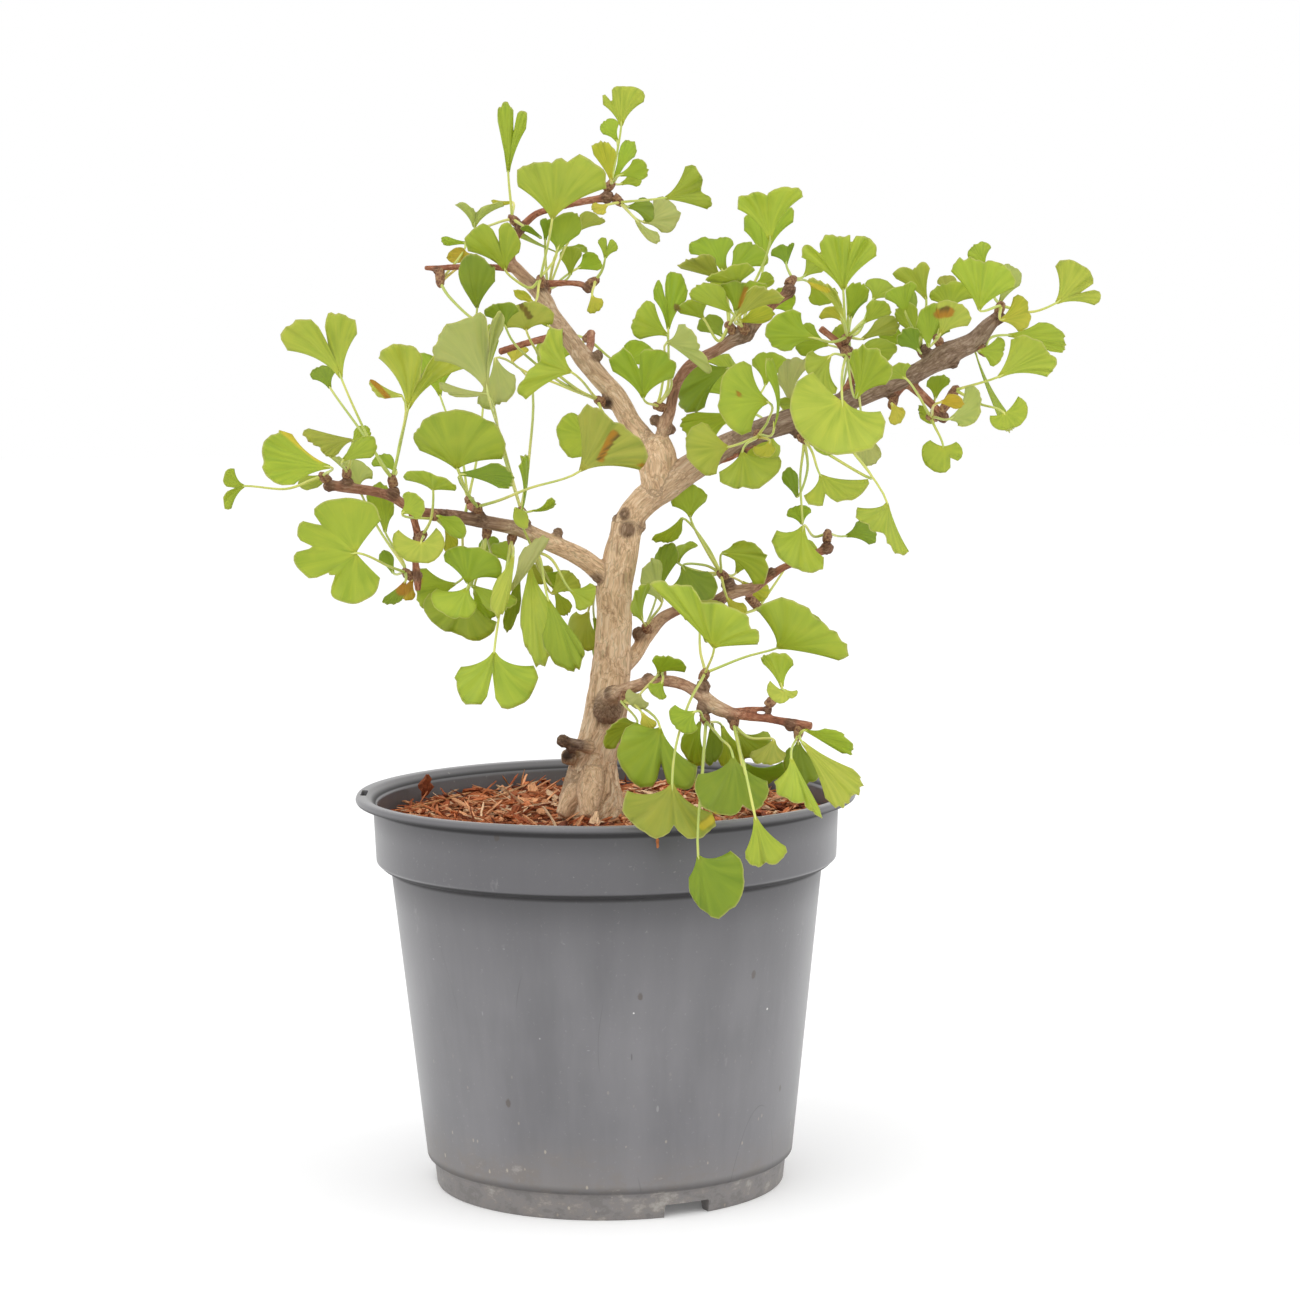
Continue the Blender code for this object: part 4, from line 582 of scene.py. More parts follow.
def leaf_finish(name, under):
    """A blade's skin: fine fanned veins, a thin yellow margin and marks; paler and duller underneath."""
    finish = Finish(name, Roughness=0.5, Specular_IOR_Level=0.4)
    tint = finish.kept("tint", "Color")
    fan = finish.node("UVMap", {"uv_map": "fan"}).outputs["UV"]
    reach = finish.along(fan, "Y")
    veins = finish.cloud(finish.stretched(fan, (120.0, 2.0, 1.0)), 1.0, 2.0, 0.6)
    ribs = finish.cloud(finish.stretched(fan, (15.0, 1.3, 1.0)), 1.0, 1.0, 0.5)
    cloudy = finish.cloud(finish.place(), 75.0, 3.0, 0.55)
    lighter = finish.times(tint, (1.20, 1.14, 1.05))
    darker = finish.times(tint, (0.72, 0.82, 0.66))
    yellowing = finish.times(tint, (1.50, 1.24, 1.10))
    colour = finish.mix(finish.band(ribs, 0.32, 0.68), darker, lighter)
    colour = finish.mix(finish.band(cloudy, 0.36, 0.64) * 0.6 + 0.2, colour, tint)
    for share in (finish.band(veins, 0.50, 0.70) * 0.35, finish.band(cloudy, 0.54, 0.72) * 0.30,
                  finish.band(reach, 0.26, 0.0) * 0.60):
        colour = finish.mix(share, colour, yellowing)
    edge = finish.band(reach + (veins - 0.5) * 0.025, 0.965, 0.997)
    colour = finish.over(colour, (edge * 0.60, (0.74, 0.68, 0.24)))
    if under:
        colour = finish.over(colour, (0.30, (0.52, 0.56, 0.24)))
    mark = finish.band(finish.share("mark", "Alpha") + (cloudy - 0.5) * 0.5, 0.25, 0.7)
    colour = finish.mix(mark, colour, finish.kept("mark", "Color"))
    relief = finish.relief(veins * 0.35 + ribs * 0.8, 0.4 * MM, 0.5 if under else 0.4)
    rough = (ribs - 0.5) * 0.15 + (0.58 if under else 0.42)
    finish.dress(Base_Color=colour, Roughness=rough, Normal=relief)
    through = finish.node("BsdfTranslucent", None, {"Color": opaque((0.58, 0.66, 0.09))})
    blend = finish.node("MixShader", None, {0: 0.43, 1: finish.surface.outputs[0], 2: through.outputs[0]})
    out = finish.tree.nodes["Material Output"]
    finish.tree.links.new(blend.outputs[0], out.inputs["Surface"])
    return finish.material


def stalk_finish():
    """The stalks' smooth green skin, yellower in places."""
    finish = Finish("stalk_green", Roughness=0.42)
    tint = finish.kept("tint", "Color")
    cloudy = finish.cloud(finish.place(), 70.0, 2.0)
    yellow = finish.times(tint, (1.35, 1.15, 1.3))
    return finish.dress(Base_Color=finish.mix(finish.band(cloudy, 0.35, 0.7), tint, yellow))


def bud_finish():
    """The buds' brown scales at the foot of each tuft."""
    finish = Finish("bud_scales", Roughness=0.75)
    place = finish.place()
    scales = finish.cells(place, 900.0)
    cloudy = finish.cloud(place, 500.0, 2.0)
    colour = finish.ramp(scales * 0.7 + cloudy * 0.4, [
        (0.15, (0.055, 0.022, 0.012)), (0.45, (0.210, 0.090, 0.044)), (0.8, (0.380, 0.220, 0.105)),
    ])
    return finish.dress(Base_Color=colour, Normal=finish.relief(scales, 0.6 * MM, 0.9))


def bark_finish():
    """Fine furrowed bark: tan with olive flecks along the grain, dusky or red-brown on younger wood."""
    finish = Finish("bark_tan", Roughness=0.85, Specular_IOR_Level=0.25)
    grain = finish.stretched(finish.kept("grain", "Vector"), (1.0, 1.0, 2.4))
    foot = finish.share("foot")
    fine = finish.cloud(grain, 1050.0, 4.0, 0.62)
    broad = finish.cloud(grain, 330.0, 3.0, 0.6)
    flecks = finish.cloud(grain, 820.0, 2.0, 0.5, 0.4)
    cloudy = finish.cloud(finish.place(), 42.0, 3.0, 0.6)
    cracks = finish.cells(grain, 520.0, "DISTANCE_TO_EDGE")
    fibres = fine * 0.6 + broad * 0.4
    colour = finish.ramp(fibres, [
        (0.30, (0.315, 0.190, 0.108)), (0.44, (0.610, 0.400, 0.240)),
        (0.56, (0.790, 0.565, 0.365)), (0.72, (0.870, 0.720, 0.545)),
    ])
    colour = finish.over(
        colour,
        (finish.band(flecks, 0.55, 0.67) * 0.40, (0.290, 0.245, 0.130)),
        (finish.band(cloudy, 0.50, 0.74) * 0.22, (0.330, 0.225, 0.150)),
        (foot * finish.band(broad, 0.50, 0.60) * 0.85, (0.840, 0.690, 0.490)),
        (foot * finish.band(broad, 0.44, 0.34) * 0.75, (0.160, 0.092, 0.050)),
    )
    dusky = finish.ramp(fibres, [
        (0.32, (0.060, 0.036, 0.026)), (0.5, (0.175, 0.115, 0.085)), (0.68, (0.370, 0.280, 0.220)),
    ])
    sprout = finish.ramp(fibres, [
        (0.32, (0.125, 0.044, 0.026)), (0.5, (0.330, 0.125, 0.068)), (0.7, (0.540, 0.290, 0.180)),
    ])
    spur_brown = finish.ramp(fine, [
        (0.3, (0.038, 0.019, 0.013)), (0.55, (0.155, 0.086, 0.052)), (0.75, (0.370, 0.250, 0.165)),
    ])
    for name, bark in (("dusk", dusky), ("young", sprout), ("spur", spur_brown)):
        colour = finish.mix(finish.share(name), colour, bark)
    colour = finish.over(colour, (finish.band(cracks, 0.07, 0.0) * 0.28, (0.110, 0.065, 0.036)))
    colour = finish.mix(finish.share("scar", "Alpha"), colour, finish.kept("scar", "Color"))
    height = fine * 0.6 + broad * 0.5 + finish.band(cracks, 0.0, 0.10) * 0.2
    return finish.dress(Base_Color=colour, Roughness=0.95 - fine * 0.25,
                        Normal=finish.relief(height, 0.8 * MM, 0.75))


def chip_finish():
    """Shredded bark: every piece in a tone of its own, with fibres along it."""
    finish = Finish("mulch_shreds", Roughness=0.9, Specular_IOR_Level=0.2)
    tint = finish.kept("tint", "Color")
    fibres = finish.cloud(finish.kept("grain", "Vector"), 1100.0, 4.0, 0.7)
    cloudy = finish.cloud(finish.place(), 180.0, 3.0)
    dark = finish.times(tint, (0.34, 0.26, 0.24))
    light = finish.times(tint, (1.45, 1.50, 1.60))
    colour = finish.mix(finish.band(fibres, 0.32, 0.50), dark, tint)
    colour = finish.mix(finish.band(fibres, 0.53, 0.72) * 0.8, colour, light)
    colour = finish.mix(finish.band(cloudy, 0.55, 0.75) * 0.4, colour, dark)
    return finish.dress(Base_Color=colour, Roughness=0.98 - fibres * 0.2,
                        Normal=finish.relief(fibres, 1.1 * MM, 0.9))


def soil_finish():
    """Dark peat with fibres."""
    finish = Finish("soil_peat", Roughness=0.95)
    crumbs = finish.cloud(finish.place(), 320.0, 5.0, 0.7)
    colour = finish.ramp(crumbs, [
        (0.3, (0.008, 0.005, 0.004)), (0.55, (0.035, 0.021, 0.014)), (0.75, (0.120, 0.070, 0.042)),
    ])
    return finish.dress(Base_Color=colour, Normal=finish.relief(crumbs, 2.0 * MM, 0.8))


def pot_scratches(finish, place, colour):
    """Fine dark hair scratches that wander, and rare short dashes in dark and pale."""
    wander = finish.cloud(finish.stretched(place, (1.0, 1.0, 0.35)), 16.0, 1.0, 0.4, 0.3)
    line = finish.band(finish.math("ABSOLUTE", wander - 0.5), 0.0022, 0.0)
    sparse = finish.band(finish.cloud(finish.stretched(place, (0.4, 1.0, 1.0)), 19.0, 1.0), 0.55, 0.61)
    colour = finish.mix(line * sparse * 0.40, colour, grey(0.055))
    for stretch, scale, shade in (((1.0, 0.8, 0.20), 120.0, 0.055), ((0.3, 0.4, 1.0), 150.0, 0.340),
                                  ((0.8, 1.0, 0.30), 90.0, 0.300)):
        dashes = finish.band(finish.cells(finish.stretched(place, stretch), scale), 0.050, 0.030)
        rare = finish.band(finish.cloud(place, scale * 0.3, 0.0), 0.56, 0.62)
        colour = finish.mix(dashes * rare * 0.55, colour, grey(shade))
    return colour


def pot_dirt(finish, place, height, cloudy, scuffs, colour):
    """Dust, smudges, white specks, water stains, and crumbs of soil towards the foot."""
    speckle = finish.cloud(place, 520.0, 3.0, 0.7)
    smudges = finish.cloud(finish.stretched(place, (1.0, 1.0, 0.6)), 60.0, 4.0, 0.8)
    specks = finish.band(finish.cells(place, 70.0), 0.042, 0.030)
    rare = finish.band(finish.cloud(place, 37.0, 0.0), 0.56, 0.60)
    stains = finish.cells(finish.stretched(place, (1.0, 1.0, 0.7)), 42.0) + (speckle - 0.5) * 0.05
    stained = finish.band(stains, 0.066, 0.045) * finish.band(cloudy, 0.44, 0.52)
    crumbs = finish.cells(finish.stretched(place, (1.0, 1.0, 0.6)), 150.0) + (speckle - 0.5) * 0.12
    splashed = finish.band(height + (cloudy - 0.5) * 0.06, 0.090, 0.0)
    ring = finish.band_mm(height, FOOT_RING)
    return finish.over(
        colour,
        (finish.band(speckle, 0.62, 0.78) * 0.35, (0.34, 0.33, 0.33)),
        (finish.band(smudges, 0.64, 0.76) * 0.35, (0.300, 0.290, 0.290)),
        (specks * rare * 0.9, (0.75, 0.74, 0.72)),
        (stained * 0.7, (0.080, 0.062, 0.048)),
        (finish.band(crumbs, 0.10, 0.05) * splashed * 0.75, (0.440, 0.390, 0.310)),
        (ring * finish.band(scuffs, 0.50, 0.40) * 0.45, (0.120, 0.108, 0.098)),
        (ring * finish.band(scuffs, 0.52, 0.66) * 0.55, (0.400, 0.380, 0.350)),
    )


def pot_grime(finish, place, height):
    """How much painted shade lies in the creases under the lip, under the collar and over the foot ring."""
    flat = finish.stretched(place, (1.0, 1.0, 0.0))
    radius = Number(finish, finish.node("VectorMath", {"operation": "LENGTH"}, {0: flat}).outputs["Value"])
    # Painted shadow lines in the creases, with softer painted shade below the lip and below the collar
    lip = finish.band_mm(height, LIP_SHADOW_LINE) * 0.72 + finish.band_mm(height, LIP_SHADE) * 0.28
    collar = finish.band_mm(height, COLLAR_SHADOW_LINE) * 0.68 + finish.band_mm(height, COLLAR_SHADE) * 0.32
    foot = finish.band_mm(height, FOOT_SHADOW_LINE) * finish.band_mm(height, FOOT_SHADOW_STOP)
    lip = lip * finish.band_mm(height, LIP_SHADOW_STOP) * finish.band_mm(radius, COLLAR_RADII)
    return lip + collar * finish.band_mm(height, COLLAR_SHADOW_STOP) + foot * 0.5


def pot_finish():
    """Scuffed grey plastic: painted shade in the creases and on the collar, a painted highlight on the lip,
    scratches, specks and dried soil towards the foot.
    """
    finish = Finish("pot_grey", Roughness=0.4, Specular_IOR_Level=0.5, Coat_Roughness=0.35)
    place = finish.place()
    height = finish.along(place, "Z")
    cloudy = finish.cloud(place, 11.0, 4.0, 0.6)
    streaks = finish.cloud(finish.stretched(place, (1.0, 1.0, 0.16)), 45.0, 4.0, 0.6)
    scuffs = finish.cloud(finish.stretched(place, (1.0, 1.0, 1.6)), 75.0, 5.0, 0.72)
    # upper is how far the painted shade on the collar and the upper body reaches
    upper = finish.band(height + (cloudy - 0.5) * 0.05, 0.085, 0.150)
    low = finish.band(height + (cloudy - 0.5) * 0.035, 0.040, 0.002)
    colour = finish.over(
        opaque((0.132, 0.130, 0.138)),
        (finish.band(cloudy, 0.3, 0.7), (0.168, 0.164, 0.174)),
        (finish.band(streaks, 0.42, 0.72) * 0.30, (0.225, 0.220, 0.230)),
        (finish.band(streaks, 0.50, 0.30) * 0.26, (0.086, 0.084, 0.091)),
        # Painted shade: the collar and the upper body darker than the rest of the pot
        (upper * 0.75, (0.074, 0.072, 0.079)),
        # Painted shade on the lip's face, and a painted highlight along the lip's top
        (finish.band_mm(height, LIP_FACE_SHADE) * 0.85, (0.122, 0.119, 0.126)),
        (finish.band_mm(height, LIP_TOP_HIGHLIGHT) * 0.60, (0.215, 0.210, 0.218)),
        (low * 0.6, (0.245, 0.225, 0.212)),
        (low * finish.band(scuffs, 0.46, 0.62) * 0.55, (0.190, 0.158, 0.130)),
        (low * finish.band(scuffs, 0.62, 0.76) * 0.8, (0.470, 0.440, 0.410)),
    )
    colour = pot_scratches(finish, place, colour)
    colour = pot_dirt(finish, place, height, cloudy, scuffs, colour)
    # Painted shade: near-black lines in the creases under the lip, under the collar and over the foot ring
    crease_shade = pot_grime(finish, place, height)
    colour = finish.over(colour, (crease_shade * 0.94, (0.014, 0.013, 0.014)))
    # Where the shade is painted, the coat is taken off and the surface made rougher, so the painted shade
    # stays dark
    rough = cloudy * 0.16 + streaks * 0.10 + low * 0.35 + crease_shade * 0.3 + 0.22
    speckle = finish.cloud(place, 520.0, 3.0, 0.7)
    relief = finish.relief(speckle * 0.3 + cloudy * 0.7, 0.25 * MM, 0.4)
    return finish.dress(Base_Color=colour, Roughness=rough, Coat_Weight=0.28 - crease_shade * 0.28,
                        Normal=relief)


def add_object(name, mesh, *finishes):
    """A named object for a mesh, with its materials."""
    piece = bpy.data.objects.new(name, mesh)
    bpy.context.scene.collection.objects.link(piece)
    for finish in finishes:
        piece.data.materials.append(finish)
    return piece


def mesh_from(bm, name):
    """A mesh from a bmesh."""
    mesh = bpy.data.meshes.new(name)
    bm.to_mesh(mesh)
    bm.free()
    return mesh


def evaluated(piece):
    """A new mesh of what an object's modifiers or bevels make of it; the object is removed."""
    graph = bpy.context.evaluated_depsgraph_get()
    mesh = bpy.data.meshes.new_from_object(piece.evaluated_get(graph))
    bpy.data.objects.remove(piece)
    return mesh


def join(name, parts):
    """Several objects made one."""
    with bpy.context.temp_override(active_object=parts[0], object=parts[0], selected_objects=parts,
                                   selected_editable_objects=parts):
        bpy.ops.object.join()
    parts[0].name = name
    return parts[0]


def points_of(mesh):
    """An array of a mesh's points."""
    flat = np.empty(len(mesh.vertices) * 3)
    mesh.vertices.foreach_get("co", flat)
    return flat.reshape(-1, 3)


def set_points(mesh, places):
    """Move a mesh's points to an array of places."""
    mesh.vertices.foreach_set("co", np.asarray(places, dtype=float).ravel())
    mesh.update()


def store(mesh, name, kind, values):
    """Keep a value for each point of a mesh, for its material."""
    layer = mesh.attributes.get(name) or mesh.attributes.new(name, kind, "POINT")
    field = {"FLOAT": "value", "FLOAT_VECTOR": "vector", "FLOAT_COLOR": "color"}[kind]
    layer.data.foreach_set(field, np.asarray(values, dtype=float).ravel())


def tint_all(mesh, tint):
    """Give every point of a mesh one tint."""
    store(mesh, "tint", "FLOAT_COLOR", np.tile([*tint, 1.0], (len(mesh.vertices), 1)))


def lay_mark(marks, strength, colour):
    """Lay a mark over rows of red, green, blue and strength, where it is stronger than what is there."""
    stronger = strength > marks[:, 3]
    marks[stronger, :3] = colour
    marks[:, 3] = np.maximum(marks[:, 3], strength)


def keep_inside(mesh, box, margin):
    """Hold a mesh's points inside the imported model's box."""
    low = np.array(box[0]) + margin
    high = np.array(box[1]) - margin
    set_points(mesh, np.clip(points_of(mesh), low, high))


def faces_tree(meshes):
    """A search tree over several meshes."""
    places = []
    faces = []
    for mesh in meshes:
        start = len(places)
        places += [vert.co.copy() for vert in mesh.vertices]
        faces += [tuple(corner + start for corner in face.vertices) for face in mesh.polygons]
    return BVHTree.FromPolygons(places, faces)


def smooth_route(knots, steps, after=None):
    """A smooth path through knots of any number of values, as an array, aimed at a place after its end."""
    knots = [np.array(knot, dtype=float) for knot in knots]
    knots.insert(0, 2 * knots[0] - knots[1])
    knots.append(2 * knots[-1] - knots[-2] if after is None else np.array(after, dtype=float))
    path = []
    for a, b, c, d in zip(knots, knots[1:], knots[2:], knots[3:]):
        for step in range(steps):
            t = step / steps
            path.append(0.5 * (2 * b + (c - a) * t + (2 * a - 5 * b + 4 * c - d) * t * t
                               + (3 * b - a - 3 * c + d) * t ** 3))
    path.append(knots[-2])
    return np.array(path)


def tubes(name, routes, resolution):
    """Round tubes along routes of (x, y, z, radius), as one object."""
    curve = bpy.data.curves.new(name, "CURVE")
    curve.dimensions = "3D"
    curve.bevel_depth = MM
    curve.bevel_resolution = resolution
    curve.use_fill_caps = True
    for route in routes:
        line = curve.splines.new("POLY")
        line.points.add(len(route) - 1)
        for point, (x, y, z, radius) in zip(line.points, route):
            point.co = (x, y, z, 1.0)
            point.radius = radius / MM
    return add_object(name, evaluated(add_object(name, curve)))


def leaf(base, left, tip, right, depth, notch=None, stalk=(), spread=None, tone="mid", slits=(),
         cleft=0.4, shape=(), nearer=0):
    """One fan leaf: where its blade meets its stalk, its two corners and the middle of its margin.

    A leaf of the solids that the photo shows otherwise in fine detail has a finer shape, as its base and
    its corners, and stands nearer the eye by some millimetres.
    """
    return {"base": base, "left": left, "tip": tip, "right": right, "depth": depth, "notch": notch,
            "stalk": stalk, "spread": spread, "tone": tone, "slits": slits, "cleft": cleft,
            "shape": shape, "nearer": nearer}


def dip(away, width):
    """A smooth dip of a half width, 1 in its middle."""
    return math.exp(-(away / width) ** 2)


class Leaf:
    """A fan leaf on its stalk, by the rules of the solids and then in fine detail."""

    def __init__(self, row, spur_depth, bud):
        self.row = row
        self.bud = bud
        self.spur_depth = spur_depth
        self.cuts = []
        draw = random.Random(str(row["base"]))
        self.lean = draw.uniform(0.35, 0.75)
        self.arch = draw.uniform(0.03, 0.10) * draw.choice((-1, 1, 1))
        self.curl = draw.uniform(-0.10, 0.18)
        self.wave = [draw.uniform(-1, 1) for _ in range(40)]
        self.shade = draw.uniform(-1, 1)
        self.warmth = draw.uniform(-1, 1)
        self.far_off = Vector((draw.uniform(0, 90), draw.uniform(0, 90), draw.uniform(0, 90)))

    def place(self, shift, bow, calm):
        """Set the leaf out: shifted in depth, its stalk bowed, its blade calmed."""
        row = self.row
        self.calm = calm
        depth = self.spur_depth + row["depth"] * DEPTH_SPREAD + shift
        self.foot = spot(*row["base"], depth)
        if row["spread"]:
            more = row["spread"]
        else:
            more = self.tilt([spot(*row[corner], depth) - self.foot for corner in CORNERS])
        corners = [spot(*row[corner], depth + further) - self.foot
                   for corner, further in zip(CORNERS, more)]
        self.left, self.tip, self.right = corners
        self.ahead = self.tip.normalized()
        side = self.right.normalized() - self.left.normalized()
        side -= self.ahead * side.dot(self.ahead)
        self.side = side.normalized()
        angles = [math.degrees(self.ahead.angle(corner)) for corner in (self.left, self.right)]
        self.waists = [WAIST + WIDE_WAIST * smooth_step((angle - WIDE_FROM) / WIDE_RANGE)
                       for angle in angles]
        self.normal = self.side.cross(self.ahead)
        if self.normal.y > 0:
            self.normal = -self.normal
        self.size = max(corner.length for corner in corners)
        self.breadth = (self.right - self.left).length
        knots = [self.bud]
        for step, point in enumerate(reversed(row["stalk"])):
            share = (step + 1) / (len(row["stalk"]) + 1)
            knots.append(spot(*point, self.spur_depth * (1 - share) + depth * share))
            knots[-1].y += bow * MM
        knots.append(self.foot)
        ahead = knots[1] - self.bud
        if ahead.length > LONG_STRETCH:
            ahead.y += bow * MM
            knots.insert(1, self.bud + ahead.normalized() * NECK)
        self.knots = knots

    def tilt(self, flat):
        """How much further back each corner stands: a flat tilt that evens out the fan's three radii."""
        radius = max(corner.length for corner in flat) * 1.04
        east_east = east_up = up_up = 0.0
        east_aim = up_aim = 0.0
        for corner in flat:
            aim = self.calm * self.lean * math.sqrt(radius ** 2 - corner.length ** 2)
            if self.foot.y < self.bud.y:
                aim = -aim
            east_east += corner.x ** 2
            east_up += corner.x * corner.z
            up_up += corner.z ** 2
            east_aim += corner.x * aim
            up_aim += corner.z * aim
        steady = 0.08 * radius ** 2
        size = (east_east + steady) * (up_up + steady) - east_up ** 2
        slope_east = (east_aim * (up_up + steady) - up_aim * east_up) / size
        slope_up = (up_aim * (east_east + steady) - east_aim * east_up) / size
        return [(slope_east * corner.x + slope_up * corner.z) / MM for corner in flat]

    def drawn(self, s, first):
        """The drawn wave at s, smooth between its samples."""
        along = min(max((s + 1) * 8, 0.0), 15.999)
        step = int(along)
        ease = smooth_step(along - step)
        return self.wave[first + step] * (1 - ease) + self.wave[first + step + 1] * ease

    def surface(self, s, j, fine=True):
        """Point of the blade's middle surface: s from corner to corner, j from the stalk to the margin."""
        corner = self.left if s < 0 else self.right
        waist = WAIST
        if fine:
            waist = self.waists[0] if s < 0 else self.waists[1]
        spread = abs(s) * (waist + (1 - waist) * j ** 0.75)
        ray = self.ahead.slerp(corner.normalized(), spread)
        length = self.tip.length * (1 - abs(s)) + corner.length * abs(s)
        length *= 1 + MARGIN_BULGE * math.sin(math.pi * abs(s))
        if self.row["notch"] is not None:
            away = abs(s - self.row["notch"])
            if fine:
                length *= 1 - self.row["cleft"] * dip(away, CLEFT_WIDTH)
                length *= 1 - CLEFT_DIP * dip(away, CLEFT_DIP_WIDTH)
            else:
                length *= 1 - NOTCH_DEPTH * dip(away, NOTCH_WIDTH)
        length *= 1 + MARGIN_WAVE * self.drawn(s, 0)
        if fine:
            for slit, cut in self.cuts:
                length *= 1 - cut * dip(s - slit, SLIT_WIDTH)
            crenel = noise.noise(Vector((s * 9.0, 0.0, 0.0)) + self.far_off)
            length *= 1 + CRENEL * crenel * j * j
            length *= 1 - ROUND_CORNER * smooth_step((abs(s) - ROUND_FROM) / (1 - ROUND_FROM)) ** 2
        rise = self.calm * (self.arch * 4 * j * (1 - j) + self.curl * j * j * (1.2 - s * s))
        place = self.foot + ray * length * j + self.normal * rise * self.tip.length
        place += self.normal * self.calm * BLADE_WAVE * self.breadth * self.drawn(s, 20) * j * j
        if fine:
            waving = noise.noise(Vector((s * 4.5, j * 1.2, 5.0)) + self.far_off)
            place += self.normal * waving * BLADE_RIPPLE * self.breadth * j * j
        return place + self.side * s * STALK_WIDTH / 2 * (1 - j)

    def match(self, solid):
        """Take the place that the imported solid's leaf took."""
        def misses(places):
            return sum(solid.find_nearest(place)[3] for place in places)

        def blade(calm, shift):
            self.place(shift, 0, calm)
            return misses([self.foot] + [self.surface(s, 1, fine=False) for s in (-1, 0, 1)])

        ways = [(calm, shift) for calm in CALMS for shift in SHIFTS]
        calm, shift = min(ways, key=lambda way: blade(*way))

        def stalk(bow):
            self.place(shift, bow, calm)
            return misses(self.knots[1:-1])

        bow = min(BOWS, key=stalk)
        self.row = {**self.row, **dict(zip(("base", *CORNERS), self.row["shape"]))}
        self.place(shift - self.row["nearer"], bow, calm)

    def settle(self, standing):
        """For a leaf too small for the solids: the first place where its blade is clear of what stands."""
        for calm in CALMS:
            for shift in SHIFTS:
                self.place(shift, 0, calm)
                points = [self.surface(s, j) for s in (-1, -0.5, 0, 0.5, 1) for j in (0.5, 1)]
                if all(standing.find_nearest(point)[3] > 0.8 * MM for point in points):
                    return
        self.place(0, 0, 1.0)

    def blade(self):
        """The blade as a thin sheet, with its fan of (s, j) as a UV map."""
        big = self.size > BIG_LEAF
        rays = 34 if self.size > BIGGEST_LEAF else 26 if big else 18
        if self.row["slits"]:
            rays = 72
            aims = [step / 40 - 1 for step in range(81)]
            seen = seen_at(np.array([self.surface(aim, 1) for aim in aims]))
            for px, py, cut in self.row["slits"]:
                nearest = int(np.argmin(np.hypot(seen[:, 0] - px, seen[:, 1] - py)))
                self.cuts.append((aims[nearest], cut))
        bm = bmesh.new()
        fan = bm.loops.layers.uv.new("fan")
        bmesh.ops.create_grid(bm, x_segments=rays, y_segments=10 if big else 7, size=1.0)
        for face in bm.faces:
            for loop in face.loops:
                loop[fan].uv = ((loop.vert.co.x + 1) / 2, ((loop.vert.co.y + 1) / 2) ** RING_POWER)
        for vert in bm.verts:
            vert.co = self.surface(vert.co.x, ((vert.co.y + 1) / 2) ** RING_POWER)
        bm.normal_update()
        facing = sum(face.normal.dot(EYE_BACK) * face.calc_area() for face in bm.faces)
        if (facing < 0) != (self.row["tone"] == "pale"):
            bmesh.ops.reverse_faces(bm, faces=bm.faces)
        sheet = add_object("blade", mesh_from(bm, "blade"))
        self.colour(sheet.data)
        return sheet

    def colour(self, mesh):
        """Keep the leaf's tint and its marks on its points."""
        tint = np.array(TONES[self.row["tone"]]) * (1 + 0.09 * self.shade)
        tint *= (1 + 0.10 * self.warmth, 1.0, 1 + 0.25 * self.warmth)
        tint_all(mesh, tint)
        marks = np.zeros((len(mesh.vertices), 4))
        seen = seen_at(points_of(mesh))
        for start, end, width, name in MARKS:
            start = np.array(start, dtype=float)
            along = np.array(end, dtype=float) - start
            share = np.clip(((seen - start) @ along) / (along @ along), 0, 1)
            away = np.linalg.norm(seen - start - share[:, None] * along, axis=1)
            lay_mark(marks, np.clip(1.35 - away / width, 0, 1), MARK_COLOURS[name])
        store(mesh, "mark", "FLOAT_COLOR", marks)

    def stalk_route(self):
        """The stalk's smooth path and radii, from inside the bud to just inside the blade."""
        inner = self.foot + self.ahead * min(3.0 * MM, 0.15 * self.size)
        knots = [self.bud] + self.knots[1:]
        last = (knots[-1] - knots[-2]).length
        path = smooth_route(knots, 6, after=self.foot + self.ahead * last * 0.8)
        path = np.vstack((path, np.array(self.foot * 0.4 + inner * 0.6), np.array(inner)))
        share = np.linspace(0, 1, len(path))
        radii = (STALK_RADIUS - STALK_TAPER * np.minimum(share * 1.3, 1.0)) * MM
        radii[-3:] = np.array(STALK_END) * MM
        return np.column_stack((path, radii))


def bud_place(spur, rows, wood, standing):
    """Place of a tuft's bud: out of its spur towards its leaves, clear of the wood and of other leaves."""
    px, py, depth = spur
    start = spot(px, py, depth)
    middle = Vector()
    for row in rows:
        first = row["stalk"][-1] if row["stalk"] else row["base"]
        middle += (spot(*first, depth + row["depth"] * 0.5) - start).normalized()
    ahead = middle.normalized()
    for step in range(BUD_STEPS):
        place = start + ahead * step * BUD_STEP
        nearest, normal = wood.find_nearest(place)[:2]
        outside = (place - nearest).dot(normal) > 0
        if outside and standing.find_nearest(place)[3] > BUD_RADIUS + LEAF_CLEARANCE:
            return place
    raise ValueError("no clear place for a bud")


def bud_object(bud, spur_place):
    """A bud's short scaly cone, from the wood to where the stalks part."""
    ahead = (bud - spur_place).normalized()
    if ahead.length < 0.5:
        ahead = Vector((0, 0, 1))
    path = [spur_place - ahead * MM, spur_place.lerp(bud, 0.4), bud - ahead * 0.2 * MM,
            bud + ahead * 1.3 * MM, bud + ahead * 2.2 * MM]
    route = smooth_route([(*place, radius * MM) for place, radius in zip(path, BUD_RADII)], 3)
    cone = tubes("bud", [route], 4)
    bumpy = points_of(cone.data)
    for place in bumpy:
        lump = noise.noise(Vector(place) * 900.0)
        place += (place - np.array(bud)) * BUD_ROUGHNESS * lump
    set_points(cone.data, bumpy)
    return cone


